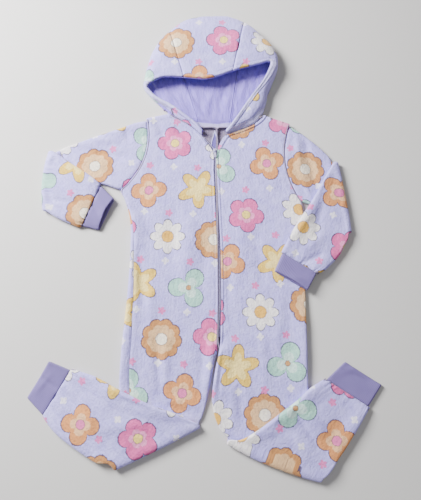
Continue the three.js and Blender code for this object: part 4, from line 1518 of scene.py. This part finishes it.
@dataclass
class Hood:
    """The hood as a fan of rows from the left end of the neck seam to its right end.

    Attributes:
        fan: rows of the neck seam, the rim and the lip, three numbers each.
        crown_seams: where the panels meet, in rows.
        rim_turn: how far in from the rim the hood's back leaves the floor.
        narrow, wide: from seam to rim, where the hood's back starts to lie flat and does.
        fine: from one mesh row to the next, in rows of the fan.
        roll: the radius of the lip's rolled edge.
        rise: how far the loose lining stands up from the hood's back.
        columns: steps from the neck seam to the lip.
        steps: steps from each point of a row's curve to the next.
        hems: rows, and how wide the plain band inside the lip is there.
        neck_band: rows, and how wide the lining's band at the neck is.
        welt: rows, and how wide the plain band outside the neck seam is.
    """

    fan: Sequence[Sequence[float]]
    crown_seams: tuple[float, float] = (12.8, 18.4)
    rim_turn: float = 24.0
    narrow: float = 18.0
    wide: float = 48.0
    fine: float = 0.14
    roll: float = 3.1
    rise: float = 3.0
    columns: int = 108
    steps: int = 24
    hems: Sequence[tuple[float, float]] = (
        (3.0, 0), (3.6, 18), (8.2, 18), (9.2, 0), (22, 0), (23, 18), (25, 20), (27, 15), (30, 12),
        (32, 10))
    neck_band: Sequence[tuple[float, float]] = ((10, 0), (11, 11), (24, 11), (25, 0))
    welt: Sequence[tuple[float, float]] = ((25.4, 0), (26.2, 12), (29, 17), (31, 22), (32, 24))

    def row(self, v: float) -> np.ndarray:
        """Return the seam, rim and lip at a row, between the table's rows too."""
        table = np.array(self.fan, dtype=float)
        last = len(table) - 1
        place = min(last, max(0.0, v))
        i = min(last - 1, int(place))
        t = place - i
        p0, p1, p2, p3 = table[max(0, i - 1)], table[i], table[i + 1], table[min(last, i + 2)]
        bend = (2 * p0 - 5 * p1 + 4 * p2 - p3) * t * t + (3 * p1 - p0 - 3 * p2 + p3) * t ** 3
        return (0.5 * (2 * p1 + (p2 - p0) * t + bend)).reshape(3, 3)

    def section(self, v: float) -> tuple[np.ndarray, np.ndarray]:
        """Return a row's points from neck seam to lip, and each one's chart place."""
        seam, rim, lip = self.row(v)
        to_rim = math.hypot(*(rim - seam)[:2])
        flat = float(smooth((to_rim - self.narrow) / (self.wide - self.narrow)))
        out = mix(seam, rim, 1 - min(0.5, self.rim_turn / to_rim))
        out[2] *= 1 - flat
        rising = mix(rim, lip, 0.25)
        rising[2] = mix(rising[2], max(rim[2], lip[2]) - 1, 0.8)
        path = [seam, mix(seam, out, 0.5), out, rim, rising, lip]
        fine = centripetal(path, self.steps)
        fine[:, 2] = np.maximum(0, fine[:, 2])
        lengths = np.linalg.norm(np.diff(fine, axis=0), axis=1)
        gone = np.concatenate([[0], np.cumsum(lengths)])
        wanted = spread(self.columns) * gone[-1]
        points = np.stack([np.interp(wanted, gone, fine[:, k]) for k in range(3)], axis=1)
        at_rim = gone[3 * self.steps]
        inward = (lip - rim)[:2]
        inward = inward / max(1e-6, float(np.linalg.norm(inward)))
        chart = rim[:2] + inward * (wanted - at_rim)[:, None]
        return points, chart

    def surface(self, first: float, last: float, facing: int = 1) -> Surface:
        """Return the outer face between two rows."""
        count = max(2, round((last - first) / self.fine))
        rows = [self.section(mix(first, last, k / count)) for k in range(count + 1)]
        points = np.array([r[0] for r in rows])
        charts = np.array([r[1] for r in rows])
        return Surface(points, charts, np.ones(points.shape[:2]), facing)

    def build(self) -> None:
        """Make the hood's outer panels, its lining and the sewing beside its lip."""
        left, right = self.crown_seams
        ends = {"left": (0.0, left), "centre": (left, right), "right": (right, len(self.fan) - 1.0)}
        lines: list[StitchLine] = []
        for k, (name, (first, last)) in enumerate(ends.items()):
            lines += self.panel(name, first, last, 50.0 + k)
        dressed(stitches("stitches_hood", lines), "")

    def panel(self, name: str, first: float, last: float, seed: float) -> list[StitchLine]:
        """Args:
            name: left, centre or right.
            first: the panel's first row in the fan.
            last: its last row.
            seed: sets its loose cloth apart from its neighbours'.

        Returns:
            The lines of sewing beside its lip.
        """
        outer, lining = self.surface(first, last), self.surface(first, last)
        rows = np.linspace(first, last, len(outer.points))
        hem, band, welt = (
            np.interp(rows, *columns_of(table))[:, None]
            for table in (self.hems, self.neck_band, self.welt)
        )
        seams = [Edge.FIRST_COLUMN]
        if name != "left":
            seams.append(Edge.FIRST_ROW)
        if name != "right":
            seams.append(Edge.LAST_ROW)
        self.shape_lining(lining, seams, band)
        self.shape_outer(outer, seams, hem, seed)
        under = outer.points[..., 2] < UNDERSIDE
        plan = outer.points[..., :2] * np.array([-1.0, 1.0])

        def charts(i: int, j: int) -> np.ndarray:
            """Return the chart of a face: the plan under the hood, the rolled one above."""
            return plan if under[i, j] else outer.cloth

        outer.groove(Edge.FIRST_COLUMN, welt, 0.7 * smooth(welt / 6), 1.6)
        plain = np.maximum(
            hem - outer.distance(Edge.LAST_COLUMN), welt - outer.distance(Edge.FIRST_COLUMN))
        piece = cloth_piece(
            f"hood_{name}_cloth", outer, FLEECE, (Finish.FLEECE, Finish.INSIDE), charts,
            plain=plain)
        dressed(piece, "plush_fleece", f"hood_{name}")
        inner = cloth_piece(
            f"lining_{name}_cloth", lining, LINING, (Finish.LINING, Finish.LINING),
            plain=band - lining.distance(Edge.FIRST_COLUMN))
        dressed(inner, "plush_lining", f"lining_{name}")
        return [
            [pair for pair, width in zip(outer.path(Edge.LAST_COLUMN, inset[:, 0]), wide[:, 0])
             if width > NARROWEST_HEM]
            for inset, wide in ((hem - 2.0, hem), (np.full_like(hem, 9.0), 12.0 - hem))
        ]

    def shape_outer(
        self, outer: Surface, seams: Sequence[Edge], hem: np.ndarray, seed: float
    ) -> None:
        """Give an outer panel its loose cloth, plain band, rolled lip and seams."""
        top = smooth((outer.points[..., 2] - 8) / 4)
        away = outer.distance(Edge.LAST_COLUMN)
        outer.free = smooth(away / 14) * top
        outer.crease((), seed)
        rolled = np.exp(-(((away - 5.0) / 3.6) ** 2))
        outer.move(smooth((hem - away) / 1.6) * 0.8 + self.roll * 0.35 * rolled)
        outer.groove(Edge.LAST_COLUMN, inset=10.5, depth=0.7 * smooth((12 - hem) / 6), width=1.8)
        outer.groove(Edge.LAST_COLUMN, inset=hem + 0.8, depth=0.7 * smooth(hem / 6), width=1.4)
        turn = np.clip(1 - away / self.roll, 0, 1)
        outer.move(-self.roll * (1 - np.sqrt(1 - turn ** 2)))
        outer.sew(seams, depth=1.3, width=3.0)

    def shape_lining(self, lining: Surface, seams: Sequence[Edge], band: np.ndarray) -> None:
        """Set a lining panel inside the outer one, with its folds and its neck band."""
        depth = FLEECE + LAYERS
        lining.points = lining.points - lining.normals() * depth
        lining.points[..., 2] = np.maximum(lining.points[..., 2], depth)
        x, y, z = (lining.points[..., k] for k in range(3))
        loose = smooth((7.5 - z) / 4) * smooth((lining.distance(Edge.FIRST_COLUMN) - 6) / 16)
        heights = sum((c.lift(x, y) for c in LINING_FOLDS), np.zeros(x.shape))
        heights = heights + unevenness(lining.cloth, 61.0)
        lining.points[..., 2] = z + loose * (self.rise + heights)
        lining.groove(Edge.FIRST_COLUMN, band + 0.8, -0.6 * smooth(band / 6), 1.4)
        for edge in seams[1:]:
            lining.points[..., 2] += 1.4 * loose * np.exp(-((lining.distance(edge) / 2.4) ** 2))


def centripetal(path: Sequence[np.ndarray], steps: int) -> np.ndarray:
    """Return a smooth curve through some points, with a number of steps between each two."""
    points = [2 * path[0] - path[1], *path, 2 * path[-1] - path[-2]]
    curve = []
    for four in zip(points, points[1:], points[2:], points[3:]):
        p0, p1, p2, p3 = four
        d0, d1, d2 = (
            max(1e-4, float(np.linalg.norm(b - a)) ** 0.5) for a, b in zip(four, four[1:]))
        leaving = ((p1 - p0) / d0 - (p2 - p0) / (d0 + d1) + (p2 - p1) / d1) * d1
        arriving = ((p2 - p1) / d1 - (p3 - p1) / (d1 + d2) + (p3 - p2) / d2) * d1
        curve += [curve_point(p1, leaving, p2, arriving, k / steps) for k in range(steps)]
    curve.append(path[-1])
    return np.array(curve)


HOOD = Hood((
    (-20.4, 266.8, 8, -20, 272, 13, -18, 277, 17),
    (-40.4, 284.9, 8.6, -38, 290, 14, -35, 295, 20),
    (-61.4, 300, 10, -60, 306, 14, -56, 312, 21),
    (-79, 311, 13.2, -81, 321, 14, -76, 328, 22),
    (-90, 323, 13, -100, 335, 15, -94, 340, 22),
    (-91, 323.5, 7, -118, 346, 13.5, -111, 349, 22),
    (-87, 315, 1, -136, 358, 12, -129, 360, 23),
    (-80, 310.7, 0.3, -151, 373, 12, -142, 374, 24),
    (-70, 305.4, 0, -156, 389, 13, -146, 382, 25),
    (-60, 301.2, 0, -154, 408, 14, -135, 390, 30),
    (-51, 297.5, 0, -148, 436, 16, -114, 398, 34),
    (-42, 295, 0, -139, 466, 17, -96, 399, 36),
    (-32, 292.3, 0, -119, 503, 18, -77, 398.5, 36),
    (-22, 289.7, 0, -92, 533, 18, -57, 397, 36),
    (-10, 288, 0, -60, 557, 18, -37, 395, 36),
    (3, 286.5, 0, -26, 567, 18, -16, 393.5, 36),
    (15, 285.2, 0, 8, 569, 18, 3, 396, 36),
    (27, 286.8, 0, 40, 567, 18, 22, 402, 36),
    (39, 288.4, 0, 70, 557, 18, 43, 410.5, 36),
    (50, 290.5, 0, 97, 541, 18, 65, 418, 36),
    (61, 292.9, 0, 122, 517, 17, 90, 425.5, 35),
    (72, 295.2, 0, 143, 494, 16, 114, 433, 33),
    (82, 298.4, 0, 157, 467, 14, 134, 441, 30),
    (91, 301.4, 0, 159, 441, 13, 140, 436, 28),
    (99, 304, 0, 153, 416, 13, 128, 408, 27),
    (106, 307.2, 0.2, 143, 394, 13, 112, 382, 27),
    (114, 311.2, 1, 134, 372, 13, 94, 358, 26),
    (121, 318.6, 5.4, 128, 346, 14, 79, 336, 26),
    (120, 317, 12.4, 119, 326, 15, 66, 316, 25),
    (104.6, 296.6, 11.6, 99, 304, 16, 55, 301, 23),
    (82.4, 285.3, 9.6, 78, 291, 15, 47, 290, 21),
    (58.3, 276.2, 8, 55, 281, 13, 41, 283, 19),
    (36.4, 268.2, 8, 37, 272, 12, 35, 277, 16),
))


# Zip


@dataclass
class Zip:
    """The zip's teeth, the guard behind it and the finishes of its solids.

    Attributes:
        bottom, slider: where the closed teeth begin and end, along the zip.
        level, open_level: how high the closed and the parted teeth lie.
        pitch: from tooth to tooth of a row.
        parted: the two lines of the parted teeth.
        tooth_size: half a tooth's length, width and height.
        guard: places along the zip, and half the guard's width there.
        guard_level: how high the guard's upper face lies.
        guard_wall: its thickness.
        bound: the width of its bound edge.
    """

    bottom: float = -188.0
    slider: float = 228.0
    level: float = 6.8
    open_level: float = 6.5
    pitch: float = 1.7
    parted: Sequence[Sequence[tuple[float, float]]] = (
        ((8.6, 234), (0, 244), (-17, 264)), ((11.6, 234), (20.5, 244), (31, 264)))
    tooth_size: tuple[float, float, float] = (1.7, 0.55, 0.62)
    guard: Sequence[tuple[float, float]] = (
        (-188, 10), (-2, 10), (150, 10), (232, 10), (252, 8.5), (268, 4), (280, 0.8))
    guard_level: float = 4.2
    guard_wall: float = 1.2
    bound: float = 2.6

    def tooth(self, bm: bmesh.types.BMesh, x: float, y: float, z: float, angle: float) -> None:
        """Add a tooth whose length lies at an angle to the zip's cross direction."""
        matrix = Matrix.Translation(to_part((x, y, z))) @ Matrix.Rotation(angle, 4, "Z")
        size = Matrix.Diagonal((*(half * MM for half in self.tooth_size), 1.0))
        bmesh.ops.create_icosphere(bm, subdivisions=1, radius=1.0, matrix=matrix @ size)

    def teeth(self) -> bpy.types.Object:
        """Make the two rows of teeth, closed below the slider and parted above it."""
        bm = bmesh.new()
        count = int((self.slider - 3 - self.bottom) / self.pitch)
        for k in range(count):
            y = self.bottom + k * self.pitch
            for side in (-1, 1):
                along = y + (side + 1) * self.pitch / 4
                self.tooth(bm, zip_x(y) + side * 0.8, along, self.level, 0.0)
        for line in self.parted:
            for (x0, y0), (x1, y1) in zip(line, line[1:]):
                steps = round(math.dist((x0, y0), (x1, y1)) / self.pitch)
                angle = math.atan2(y1 - y0, x1 - x0) - math.pi / 2
                for k in range(steps):
                    t = k / steps
                    self.tooth(bm, mix(x0, x1, t), mix(y0, y1, t), self.open_level, angle)
        return object_of("zip_teeth", bm, (Finish.TEETH,))

    def guard_strip(self) -> bpy.types.Object:
        """Make the strip of knit behind the zip, bound along its edges."""
        along = np.arange(self.guard[0][0], self.guard[-1][0] + 1, 3.0)[:, None]
        half = np.interp(along, *columns_of(self.guard))
        across = np.linspace(-1, 1, 25)[None, :]
        x = np.interp(along, *columns_of(ZIP_LINE)) + half * across
        inside = self.bound - half * (1 - abs(across))
        z = self.guard_level + 0.8 * smooth((inside + 0.3) / 0.8)
        points = np.stack([x, np.broadcast_to(along, x.shape), z], axis=2)
        surface = Surface(points, points[..., :2], np.ones(x.shape))
        return cloth_piece(
            "zip_guard_cloth", surface, self.guard_wall, (Finish.GUARD, Finish.GUARD), plain=inside)

    def build(self) -> None:
        """Make the teeth and the guard, and finish the zip's solids."""
        dressed(self.teeth(), "zip_coil", "zip_coil")
        guard = dressed(self.guard_strip(), "guard_cloth", "zip_guard")
        finishes = {
            "zip_tape_left": Finish.TAPE, "zip_tape_right": Finish.TAPE,
            "zip_slider": Finish.METAL, "zip_pull": Finish.METAL,
        }
        for name, finish in finishes.items():
            solid = bpy.data.objects[name]
            solid.data.materials.clear()
            solid.data.materials.append(finish.material())


# Studio


@dataclass(frozen=True)
class Lamp:
    """A square soft light, in metres and watts."""

    name: str
    place: Place
    size: float
    watts: float
    colour: Colour


@dataclass
class Studio:
    """The floor, the soft light and the camera.

    Attributes:
        target: what lamps and camera point at.
        distance, elevation: the camera's, in metres and degrees.
        lens, sensor: in millimetres.
        lamps: the soft lights.
        sky, sky_strength: the even light from all round.
        reach: half the floor's side, in metres.
        drop: how far the floor lies below the garment, in metres.
    """

    target: Place = (0.01206, -0.04897, 0.0)
    distance: float = 0.99
    elevation: float = 79.0
    lens: float = 32.4
    sensor: float = 36.0
    lamps: Sequence[Lamp] = (
        Lamp("key", (-1.35, 0.9, 1.1), 0.8, 150.0, (0.98, 0.99, 1.0)),
        Lamp("fill", (0.5, -0.3, 1.9), 1.8, 7.0, (0.95, 0.96, 1.0)),
    )
    sky: Colour = (0.9, 0.91, 0.95)
    sky_strength: float = 0.27
    reach: float = 3.0
    drop: float = 0.0005

    def floor(self) -> None:
        """Lay the pale floor."""
        bm = bmesh.new()
        bmesh.ops.create_grid(bm, x_segments=8, y_segments=8, size=self.reach)
        bmesh.ops.translate(bm, verts=bm.verts, vec=(0, 0, -self.drop))
        mesh = bpy.data.meshes.new("floor")
        bm.to_mesh(mesh)
        bm.free()
        mesh.materials.append(Floor().material())
        floor = bpy.data.objects.new("floor", mesh)
        bpy.context.scene.collection.objects.link(floor)

    def light(self, lamp: Lamp) -> None:
        """Hang a lamp that points at the garment."""
        data = bpy.data.lights.new(lamp.name, "AREA")
        data.size = lamp.size
        data.energy = lamp.watts
        data.color = lamp.colour
        hung = bpy.data.objects.new(lamp.name, data)
        hung.location = lamp.place
        down = Vector(self.target) - Vector(lamp.place)
        hung.rotation_euler = down.to_track_quat("-Z", "Y").to_euler()
        bpy.context.scene.collection.objects.link(hung)

    def surroundings(self) -> None:
        """Light the scene evenly from all round."""
        world = bpy.data.worlds.new("studio")
        world.use_nodes = True
        background = world.node_tree.nodes["Background"]
        background.inputs["Color"].default_value = (*self.sky, 1.0)
        background.inputs["Strength"].default_value = self.sky_strength
        bpy.context.scene.world = world

    def camera(self) -> None:
        """Set the camera at the photograph's angle."""
        data = bpy.data.cameras.new("camera")
        data.sensor_width = self.sensor
        data.lens = self.lens
        camera = bpy.data.objects.new("camera", data)
        angle = math.radians(self.elevation)
        away = Vector((0, -math.cos(angle), math.sin(angle))) * self.distance
        camera.location = Vector(self.target) + away
        camera.rotation_euler = (-away).to_track_quat("-Z", "Y").to_euler()
        bpy.context.scene.collection.objects.link(camera)
        bpy.context.scene.camera = camera

    def build(self) -> None:
        """Make the whole studio."""
        self.floor()
        for lamp in self.lamps:
            self.light(lamp)
        self.surroundings()
        self.camera()


def main() -> None:
    """Build and dress every piece, in order."""
    logging.basicConfig(level=logging.INFO, format="%(name)s: %(message)s")
    Studio().build()
    for body in (LEFT_BODY, RIGHT_BODY):
        body.build()
        LOG.info("body half %s made", body.side.value)
    for sleeve in (LEFT_SLEEVE, RIGHT_SLEEVE):
        sleeve.build()
        LOG.info("sleeve %s made", sleeve.side.value)
    for cuff in CUFFS:
        cuff.build()
        LOG.info("%s made", cuff.name)
    HOOD.build()
    LOG.info("hood made")
    Zip().build()
    LOG.info("zip made")


if __name__ == "__main__":
    main()
